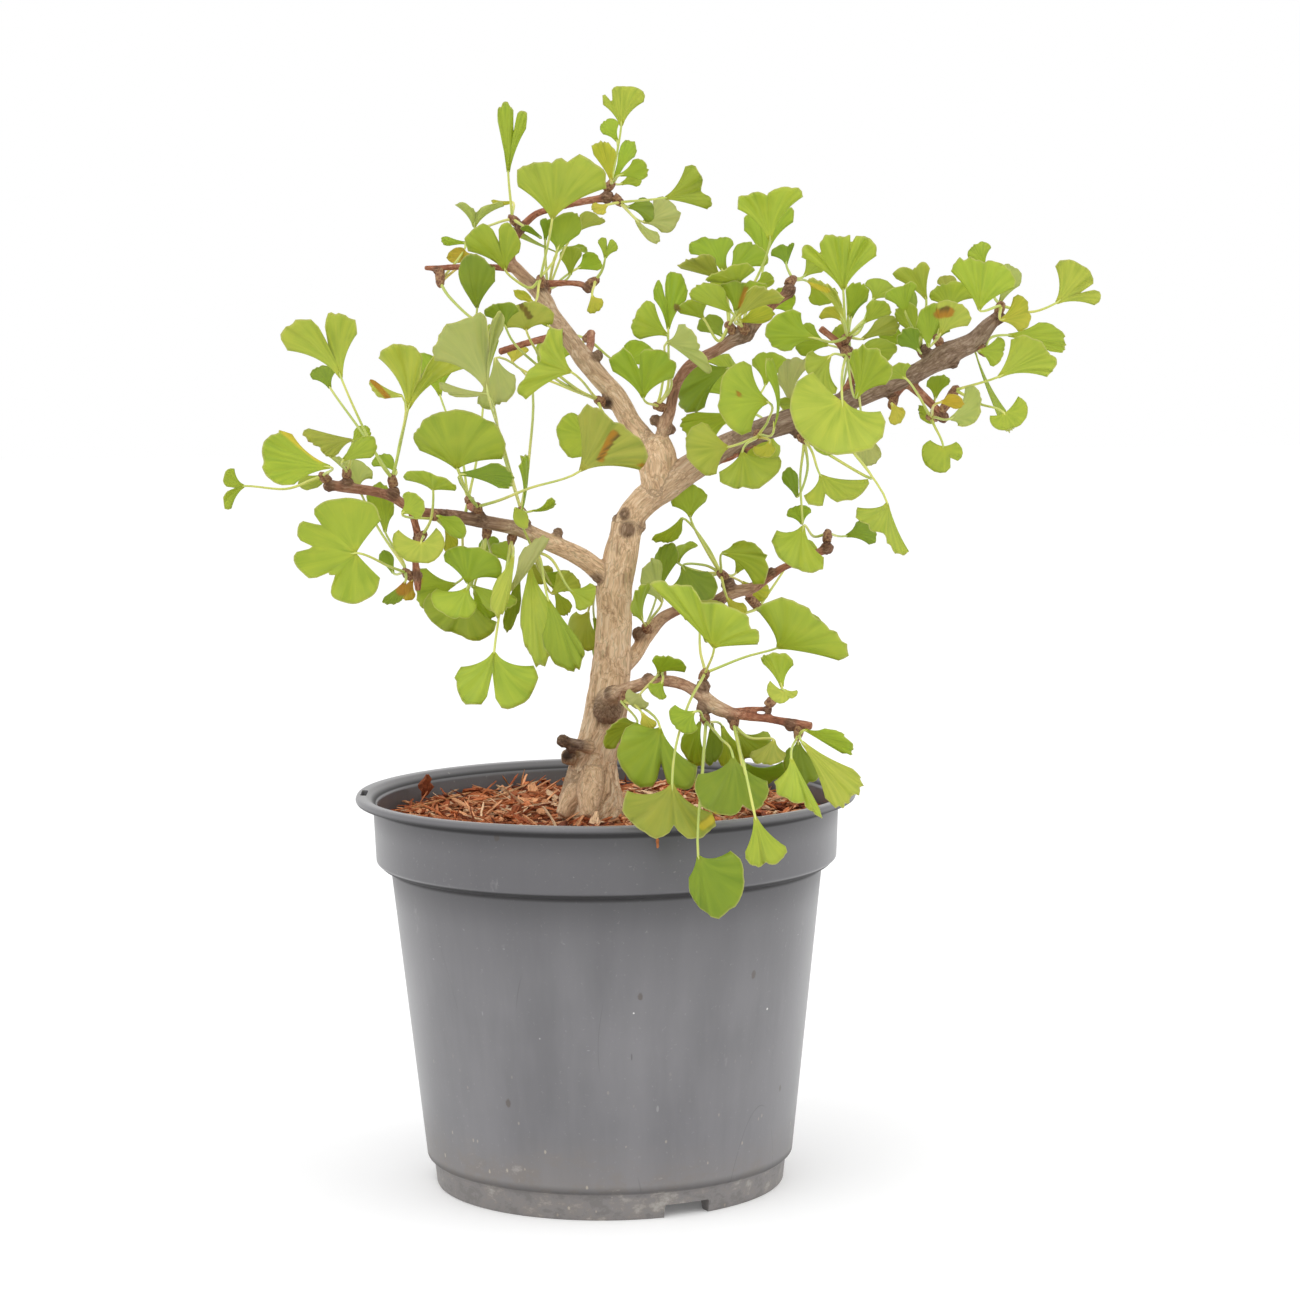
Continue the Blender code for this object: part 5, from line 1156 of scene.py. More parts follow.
def make_tuft(name, spur, rows, small_rows, trees, finishes, box):
    """One tuft of leaves in fine detail, in place of its solid."""
    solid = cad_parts["leaves_" + name]
    solid_tree = faces_tree([solid.data])
    bud = bud_place(spur, rows, trees["wood"], trees["standing"])
    blades = []
    routes = []
    tints = []
    for row in rows + small_rows:
        sprig = Leaf(row, spur[2], bud)
        if row in small_rows:
            sprig.settle(trees["all"])
        else:
            sprig.match(solid_tree)
        blades.append(sprig.blade())
        routes.append(sprig.stalk_route())
        tinge = np.array(TONES[row["tone"]]) * STALK_TINGE
        tints.append(tinge + np.array(STALK_GREEN) * (1 - STALK_TINGE))
    blade = join("blades", blades)
    keep_inside(blade.data, box, BLADE_SHEET)
    shell = blade.modifiers.new("shell", "SOLIDIFY")
    shell.thickness = BLADE_SHEET
    shell.offset = 0.0
    shell.material_offset = 1
    blade.data.materials.append(finishes["upper"])
    blade.data.materials.append(finishes["under"])
    tuft = add_object("blades", evaluated(blade))
    stalks = []
    for route, tint in zip(routes, tints):
        stalk = tubes("stalk", [route], 1)
        tint_all(stalk.data, tint)
        stalks.append(stalk)
    stalk = join("stalks", stalks)
    keep_inside(stalk.data, box, 0.05 * MM)
    stalk.data.materials.append(finishes["stalk"])
    cone = bud_object(bud, trees["wood"].find_nearest(bud)[0])
    cone.data.materials.append(finishes["bud"])
    tuft = join("tuft_" + name, [tuft, stalk, cone])
    tuft.data.shade_smooth()
    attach(tuft, "root")
    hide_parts("leaves_" + name)


def make_foliage(box):
    """All tufts, in the order in which the solids were placed."""
    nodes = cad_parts
    finishes = {"upper": leaf_finish("leaf_upper", False), "under": leaf_finish("leaf_under", True),
                "stalk": stalk_finish(), "bud": bud_finish()}
    standing = [nodes["pot"].data, nodes["bark_mulch"].data, nodes["tree_wood"].data]
    trees = {"wood": faces_tree([nodes["tree_wood"].data]),
             "all": faces_tree([node.data for name, node in nodes.items() if name != "potting_soil"])}
    for name, spur, rows, small_rows in FOLIAGE:
        trees["standing"] = faces_tree(standing)
        make_tuft(name, spur, rows, small_rows, trees, finishes, box)
        standing.append(nodes["leaves_" + name].data)


def rounded_ball(place, radius):
    """A round lump."""
    bm = bmesh.new()
    bmesh.ops.create_icosphere(bm, subdivisions=2, radius=radius)
    bmesh.ops.translate(bm, vec=place, verts=bm.verts)
    return add_object("ball", mesh_from(bm, "ball"))


class Axes:
    """Middle lines of all stems, to give every point of the bark its grain."""

    def __init__(self, paths):
        centres, aheads, sides, radii, runs, shares, stems = [], [], [], [], [], [], []
        for stem, path in enumerate(paths):
            places = path[:, :3]
            ahead = np.gradient(places, axis=0)
            ahead /= np.linalg.norm(ahead, axis=1)[:, None]
            run = np.concatenate(([0], np.cumsum(np.linalg.norm(np.diff(places, axis=0), axis=1))))
            side = np.cross(ahead[0], (0.0, 1.0, 0.0))
            for step in range(len(places)):
                side = side - ahead[step] * (side @ ahead[step])
                side /= np.linalg.norm(side)
                sides.append(side)
            centres.append(places)
            aheads.append(ahead)
            radii.append(path[:, 3])
            runs.append(run)
            shares.append(run / run[-1])
            stems.append(np.full(len(places), stem))
        self.centres = np.vstack(centres)
        self.aheads = np.vstack(aheads)
        self.sides = np.array(sides)
        self.radii = np.concatenate(radii)
        self.runs = np.concatenate(runs)
        self.shares = np.concatenate(shares)
        self.stems = np.concatenate(stems)

    def nearest(self, places):
        """Index of the stem sample whose surface lies nearest to each place."""
        found = np.empty(len(places), dtype=int)
        for start in range(0, len(places), 3000):
            stretch = places[start:start + 3000, None] - self.centres[None]
            gap = np.abs(np.linalg.norm(stretch, axis=2) - self.radii)
            found[start:start + 3000] = np.argmin(gap, axis=1)
        return found


def grain_of(places, axes, nearest):
    """Places along the fibres, which twist at the foot of the trunk, and how far up its stem each lies."""
    offset = places - axes.centres[nearest]
    ahead = axes.aheads[nearest]
    side = axes.sides[nearest]
    along = np.sum(offset * ahead, axis=1)
    across = np.sum(offset * side, axis=1)
    up = np.sum(offset * np.cross(ahead, side), axis=1)
    run = axes.runs[nearest] + along
    trunk = axes.stems[nearest] == 0
    roots = (axes.stems[nearest] >= FIRST_ROOT) & (axes.stems[nearest] <= LAST_ROOT)
    turn = np.where(trunk, 1.7 * np.exp(-run / 0.026), 0.0) + run * 7.0
    turned_across = np.cos(turn) * across - np.sin(turn) * up
    turned_up = np.sin(turn) * across + np.cos(turn) * up
    warp = np.array([noise.noise_vector(Vector(place) * 150.0) for place in places]) * 0.9 * MM
    swirl = np.where(trunk | roots, 1.0 + 2.2 * np.exp(-run / 0.03), 0.7)
    grain = np.column_stack((turned_across, turned_up, run * 0.13)) + warp * swirl[:, None]
    return grain + axes.stems[nearest][:, None] * 0.37, run


def grown_wood():
    """Stems, root end and knobs as one skin, with the stems' paths and the knobs' places and sizes."""
    paths = []
    parts = []
    for name, route in STEMS.items():
        knots = [(*spot(px, py, depth), size_at(half, depth)) for px, py, half, depth in route]
        path = smooth_route(knots, 6)
        path[:, 3] = np.maximum(path[:, 3], LEAST_STEM)
        paths.append(path)
        parts.append(tubes(name, [path], 8 if name == "trunk" else 4))
    foot = spot(*TRUNK_FOOT)
    root_end = [(foot.x, foot.y, height, ROOT_RADIUS) for height in (ROOT_END, ROOT_TOP)]
    parts.append(tubes("root_end", [root_end], 6))
    lumps = [(spot(px, py, depth), size_at(half, depth)) for px, py, half, depth in KNOBS]
    parts += [rounded_ball(place, radius * 1.08) for place, radius in lumps]
    wood = join("bark", parts)
    skin = wood.modifiers.new("skin", "REMESH")
    skin.mode = "VOXEL"
    skin.voxel_size = BARK_VOXEL
    ease = wood.modifiers.new("ease", "SMOOTH")
    ease.factor = 0.5
    ease.iterations = 3
    mesh = evaluated(wood)
    mesh.materials.clear()
    for layer in list(mesh.attributes):
        if not layer.is_internal and not layer.is_required:
            mesh.attributes.remove(layer)
    return mesh, paths, lumps


def knobs_on(places, lumps):
    """How much each place belongs to a spur or an old cut, and the rings round it."""
    spur = np.zeros(len(places))
    rings = np.zeros(len(places))
    for place, size in lumps:
        away = np.linalg.norm(places - np.array(place), axis=1)
        strength = 0.5 if YOUNG_STEM < size < BIG_KNOB else 0.8
        near = np.clip((KNOB_REACH * size - away) / (0.5 * size), 0, 1) * strength
        spur = np.maximum(spur, near)
        rings = np.where(near > 0, np.sin(away / KNOB_RING), rings)
    return spur, rings


def dusk_on(stems, shares):
    """How dusky the bark is, by its stem and how far along it the bark lies."""
    dusk = np.zeros(len(stems))
    for stem, name in enumerate(STEMS):
        start, end, strength = DUSK.get(name, (0.0, 0.0, 0.0))
        on_stem = stems == stem
        dusk[on_stem] = strength * np.clip((shares[on_stem] - start) / max(end - start, 0.001), 0, 1)
    return dusk


def make_wood(box):
    """Trunk, limbs, twigs, spurs and pruning knobs under one furrowed bark."""
    mesh, paths, lumps = grown_wood()
    places = points_of(mesh)
    normals = np.empty(len(places) * 3)
    mesh.vertex_normals.foreach_get("vector", normals)
    normals = normals.reshape(-1, 3)
    axes = Axes(paths)
    nearest = axes.nearest(places)
    stems = axes.stems[nearest]
    radius = axes.radii[nearest]
    grain, run = grain_of(places, axes, nearest)
    trunk_foot = np.where(stems == 0, np.exp(-run / FOOT_FADE), 0.0)
    spur, rings = knobs_on(places, lumps)
    height = np.empty(len(places))
    for i, (place, along) in enumerate(zip(places, grain)):
        lump = noise.noise(Vector(place) * 120.0)
        furrow = noise.fractal(Vector(along) * 380.0, 0.7, 2.1, 3)
        fleck = 0.0 if spur[i] == 0 else noise.noise(Vector(place) * 800.0)
        sized = min(1.0, radius[i] / (7 * MM))
        height[i] = lump * 0.55 * sized + furrow * (0.20 + 0.70 * trunk_foot[i]) * (0.35 + 0.65 * sized)
        height[i] += spur[i] * (fleck * 0.55 + rings[i] * 0.10)
    set_points(mesh, places + normals * height[:, None] * MM)
    young = np.clip((YOUNG_STEM - radius) / (1.5 * MM), 0, 1)
    young[stems == list(STEMS).index("foot_stub")] = 0.0
    store(mesh, "grain", "FLOAT_VECTOR", grain)
    store(mesh, "young", "FLOAT", young)
    store(mesh, "dusk", "FLOAT", dusk_on(stems, axes.shares[nearest]))
    store(mesh, "spur", "FLOAT", spur)
    store(mesh, "foot", "FLOAT", trunk_foot)
    store(mesh, "scar", "FLOAT_COLOR", scars_on(places, normals))
    keep_inside(mesh, box, 0.05 * MM)
    bark = add_object("trunk_and_limbs", mesh, bark_finish())
    bark.data.shade_smooth()
    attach(bark, "root")
    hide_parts("tree_wood")


def scars_on(places, normals):
    """Colour and strength of the old cuts on the side that the reference view shows."""
    marks = np.zeros((len(places), 4))
    seen = seen_at(places)
    facing = normals @ np.array(EYE_BACK)
    for px, py, size, colour in SCARS:
        away = np.hypot(seen[:, 0] - px, seen[:, 1] - py)
        lay_mark(marks, np.clip(1.5 - away / size, 0, 1) * (facing > 0.1), colour)
    return marks


def spun(profile, steps):
    """A closed shape turned round Z from a profile of (radius, height) in millimetres."""
    bm = bmesh.new()
    ring = [bm.verts.new((radius * MM, 0.0, height * MM)) for radius, height in profile]
    edges = [bm.edges.new(pair) for pair in zip(ring, ring[1:])]
    bmesh.ops.spin(bm, geom=ring + edges, axis=(0, 0, 1), cent=(0, 0, 0), angle=2 * math.pi, steps=steps,
                   use_merge=True)
    bmesh.ops.remove_doubles(bm, verts=bm.verts, dist=0.004 * MM)
    bmesh.ops.recalc_face_normals(bm, faces=bm.faces)
    return bm


def cut_block(size, place, turn):
    """A box that cuts a notch or a slot."""
    bm = bmesh.new()
    bmesh.ops.create_cube(bm, size=1.0)
    bmesh.ops.scale(bm, vec=size, verts=bm.verts)
    bmesh.ops.bevel(bm, geom=bm.edges, offset=CUTTER_EDGE, offset_type="OFFSET", segments=2, profile=0.5,
                    affect="EDGES", material=-1)
    bmesh.ops.translate(bm, vec=place, verts=bm.verts)
    bmesh.ops.rotate(bm, cent=(0, 0, 0), matrix=Matrix.Rotation(turn, 3, "Z"), verts=bm.verts)
    return add_object("cutter", mesh_from(bm, "cutter"))


def cut_hole(radius, low, high, place):
    """An upright round bar that cuts a hole."""
    bm = bmesh.new()
    bmesh.ops.create_cone(bm, cap_ends=True, segments=32, radius1=radius, radius2=radius, depth=high - low)
    bmesh.ops.translate(bm, vec=(*place, (low + high) / 2), verts=bm.verts)
    return add_object("cutter", mesh_from(bm, "cutter"))


def make_pot():
    """The nursery pot: tapered body, deep collar, rolled lip, foot ring with notches, drain holes, slot."""
    bm = spun(POT_PROFILE, POT_STEPS)
    corners = [edge for edge in bm.edges if len(edge.link_faces) == 2
               and edge.calc_face_angle() > math.radians(POT_CORNER)]
    bmesh.ops.bevel(bm, geom=corners, offset=POT_EDGE, offset_type="OFFSET", segments=3, profile=0.5,
                    affect="EDGES", material=-1, clamp_overlap=True)
    pot = add_object("nursery_pot", mesh_from(bm, "nursery_pot"))
    cutters = [cut_block(FOOT_NOTCH, FOOT_NOTCH_PLACE, math.radians(turn)) for turn in FOOT_NOTCH_TURNS]
    for hole in range(DRAIN_HOLES):
        turn = 2 * math.pi * (hole + 0.5) / DRAIN_HOLES
        place = (DRAIN_CIRCLE * math.cos(turn), DRAIN_CIRCLE * math.sin(turn))
        cutters.append(cut_hole(DRAIN_RADIUS, *DRAIN_CUT, place))
    cutters.append(cut_block(LABEL_SLOT, LABEL_SLOT_PLACE, 0.0))
    cuts = join("cuts", cutters)
    cut = pot.modifiers.new("cut", "BOOLEAN")
    cut.operation = "DIFFERENCE"
    cut.solver = "EXACT"
    cut.object = cuts
    mesh = evaluated(pot)
    bpy.data.objects.remove(cuts)
    mesh.materials.clear()
    pot = add_object("nursery_pot", mesh, pot_finish())
    pot.data.shade_smooth()
    pot.data.set_sharp_from_angle(angle=math.radians(POT_SHARP))
    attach(pot, "root")
    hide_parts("pot")


def sliver_shape():
    """A sliver of unit length with stations along it, to copy many times."""
    bm = bmesh.new()
    bmesh.ops.create_cube(bm, size=1.0)
    long_edges = [edge for edge in bm.edges if abs(edge.verts[0].co.x - edge.verts[1].co.x) > 0.5]
    bmesh.ops.subdivide_edges(bm, edges=long_edges, cuts=5, use_grid_fill=True)
    return mesh_from(bm, "sliver")


def sliver_rows(draw):
    """Place, headings, size, bends and tint of every shred of the mulch."""
    foot = spot(*TRUNK_FOOT)
    rows = []
    while len(rows) < SLIVERS:
        away = MULCH_RADIUS * math.sqrt(draw.random())
        turn = draw.uniform(0, 2 * math.pi)
        x, y = away * math.cos(turn), away * math.sin(turn)
        if math.hypot(x - foot.x, y - foot.y) < TRUNK_GAP:
            continue
        thin = draw.random() < THIN_SHARE
        length = draw.uniform(6, 20) * MM if thin else draw.uniform(4, 15) * MM
        width = draw.uniform(0.45, 1.2) * MM if thin else draw.uniform(1.4, 4.2) * MM
        deep = width * draw.uniform(0.5, 0.9) if thin else draw.uniform(0.6, 1.6) * MM
        steep = draw.random() < STEEP_SHARE
        pitch = draw.uniform(-0.75, 0.75) if steep else draw.gauss(0, 0.18)
        height = MULCH_TOP + draw.uniform(-1.8, 1.6) * MM + abs(pitch) * length * 0.25
        height += (2.6 * MM) * noise.noise(Vector((x, y, 0.3)) * 38.0) + 14 * MM * max(0.0, y)
        tint = draw.choices(CHIP_TINTS, CHIP_SHARES)[0]
        glow = draw.uniform(0.75, 1.25)
        heading = draw.uniform(0, 2 * math.pi)
        roll = draw.uniform(-0.5, 0.5)
        bend = draw.uniform(-0.16, 0.16)
        twist = draw.uniform(-0.9, 0.9)
        rows.append((x, y, height, heading, pitch, roll, length, width, deep, bend, twist,
                     *(part * glow for part in tint)))
    for start, end, width, tint in LOOSE_SHREDS:
        here, there = spot(*start), spot(*end)
        ahead = there - here
        middle = (here + there) / 2
        rows.append((*middle, math.atan2(ahead.y, ahead.x), -math.asin(ahead.z / ahead.length), 0.0,
                     ahead.length, width * MM, width * 0.6 * MM, 0.03, 0.3, *tint))
    return rows


def make_bed():
    """The rough bed under the shreds."""
    bed = add_object("bed", mesh_from(spun(BED_PROFILE, BED_STEPS), "bed"))
    lumpy = points_of(bed.data)
    for place in lumpy:
        if place[2] > BED_TOP:
            place[2] += noise.noise(Vector(place) * 160.0) * 1.6 * MM
    set_points(bed.data, lumpy)
    store(bed.data, "grain", "FLOAT_VECTOR", lumpy * 0.6)
    tint_all(bed.data, BED_TINT)
    return bed


def make_mulch():
    """Shredded bark: a rough bed under many loose slivers, each bent, twisted and tapered its own way."""
    draw = random.Random(MULCH_SEED)
    rows = sliver_rows(draw)
    unit = sliver_shape()
    bm = bmesh.new()
    for _ in rows:
        bm.from_mesh(unit)
    mesh = mesh_from(bm, "mulch")
    shape = points_of(unit)
    count = len(shape)
    places = np.empty((len(rows), count, 3))
    grain = np.empty((len(rows), count, 3))
    tints = np.ones((len(rows), count, 4))
    rough = np.random.default_rng(MULCH_SEED)
    for i, row in enumerate(rows):
        x, y, z, heading, pitch, roll, length, width, deep, bend, twist, *tint = row
        along = shape[:, 0]
        ends = np.abs(along * 2)
        slim = 1 - (0.35 + 0.5 * rough.random()) * ends ** (1.5 + 2 * rough.random())
        across = shape[:, 1] * width * slim * (1 + 0.30 * rough.standard_normal(count))
        rise = shape[:, 2] * deep * slim * (1 + 0.22 * rough.standard_normal(count))
        spin = roll + twist * along
        bow = length * along ** 2
        local = np.column_stack((along * length * (1 + 0.05 * rough.standard_normal(count)),
                                 across * np.cos(spin) - rise * np.sin(spin) + bend * bow,
                                 across * np.sin(spin) + rise * np.cos(spin) - abs(bend) * bow))
        turn = Matrix.Rotation(heading, 3, "Z") @ Matrix.Rotation(pitch, 3, "Y")
        places[i] = local @ np.array(turn).T + (x, y, z)
        grain[i] = np.column_stack((along * length * 0.16, across * 1.4, rise * 1.4)) + i * 0.013
        tints[i, :, :3] = tint
    places = places.reshape(-1, 3)
    away = np.hypot(places[:, 0], places[:, 1])
    loose = np.arange(len(places)) >= (len(rows) - len(LOOSE_SHREDS)) * count
    shrink = np.where((away > MULCH_RADIUS) & ~loose, MULCH_RADIUS / np.maximum(away, 1e-6), 1.0)
    places[:, :2] *= shrink[:, None]
    places[:, 2] = np.maximum(places[:, 2], MULCH_LOW)
    set_points(mesh, places)
    store(mesh, "grain", "FLOAT_VECTOR", grain)
    store(mesh, "tint", "FLOAT_COLOR", tints)
    slivers = add_object("slivers", mesh)
    mulch = join("shredded_bark", [make_bed(), slivers])
    mulch.data.materials.append(chip_finish())
    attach(mulch, "root")
    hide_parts("bark_mulch")


def make_soil():
    """The soil keeps its solid and gets its finish."""
    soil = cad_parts["potting_soil"]
    finish = soil_finish()
    if soil.material_slots:
        for slot in soil.material_slots:
            slot.material = finish
    else:
        soil.data.materials.append(finish)


def make_stage():
    """A plain pale floor, a white room and soft light from the upper left."""
    bm = bmesh.new()
    bmesh.ops.create_grid(bm, x_segments=1, y_segments=1, size=FLOOR_HALF)
    finish = Finish("studio_floor", Base_Color=grey(FLOOR_SHADE), Roughness=0.9, Specular_IOR_Level=0.0,
                    Emission_Color=grey(1.0), Emission_Strength=FLOOR_GLOW)
    floor = add_object("studio_floor", mesh_from(bm, "studio_floor"), finish.material)
    world = bpy.data.worlds.new("studio_white")
    world.use_nodes = True
    background = world.node_tree.nodes["Background"]
    background.inputs["Color"].default_value = grey(1.0)
    background.inputs["Strength"].default_value = 1.0
    bpy.context.scene.world = world
    for name, place, size, power in SOFT_LIGHTS:
        lamp = bpy.data.lights.new(name, "AREA")
        lamp.shape = "DISK"
        lamp.size = size
        lamp.energy = power
        light = bpy.data.objects.new(name, lamp)
        bpy.context.scene.collection.objects.link(light)
        light.location = place
        light.rotation_euler = (LIGHT_AIM - Vector(place)).to_track_quat("-Z", "Y").to_euler()
    bpy.context.scene.view_settings.view_transform = "Standard"


def make_camera():
    """The reference view's camera."""
    lens = bpy.data.cameras.new("reference_view")
    lens.sensor_width = SENSOR
    lens.lens = VIEW_FOCAL / VIEW_SIZE * SENSOR
    lens.clip_end = 50.0
    camera = bpy.data.objects.new("reference_view", lens)
    bpy.context.scene.collection.objects.link(camera)
    turn = Matrix((EYE_RIGHT, EYE_UP, EYE_BACK)).transposed().to_4x4()
    camera.matrix_world = Matrix.Translation(EYE) @ turn
    bpy.context.scene.camera = camera


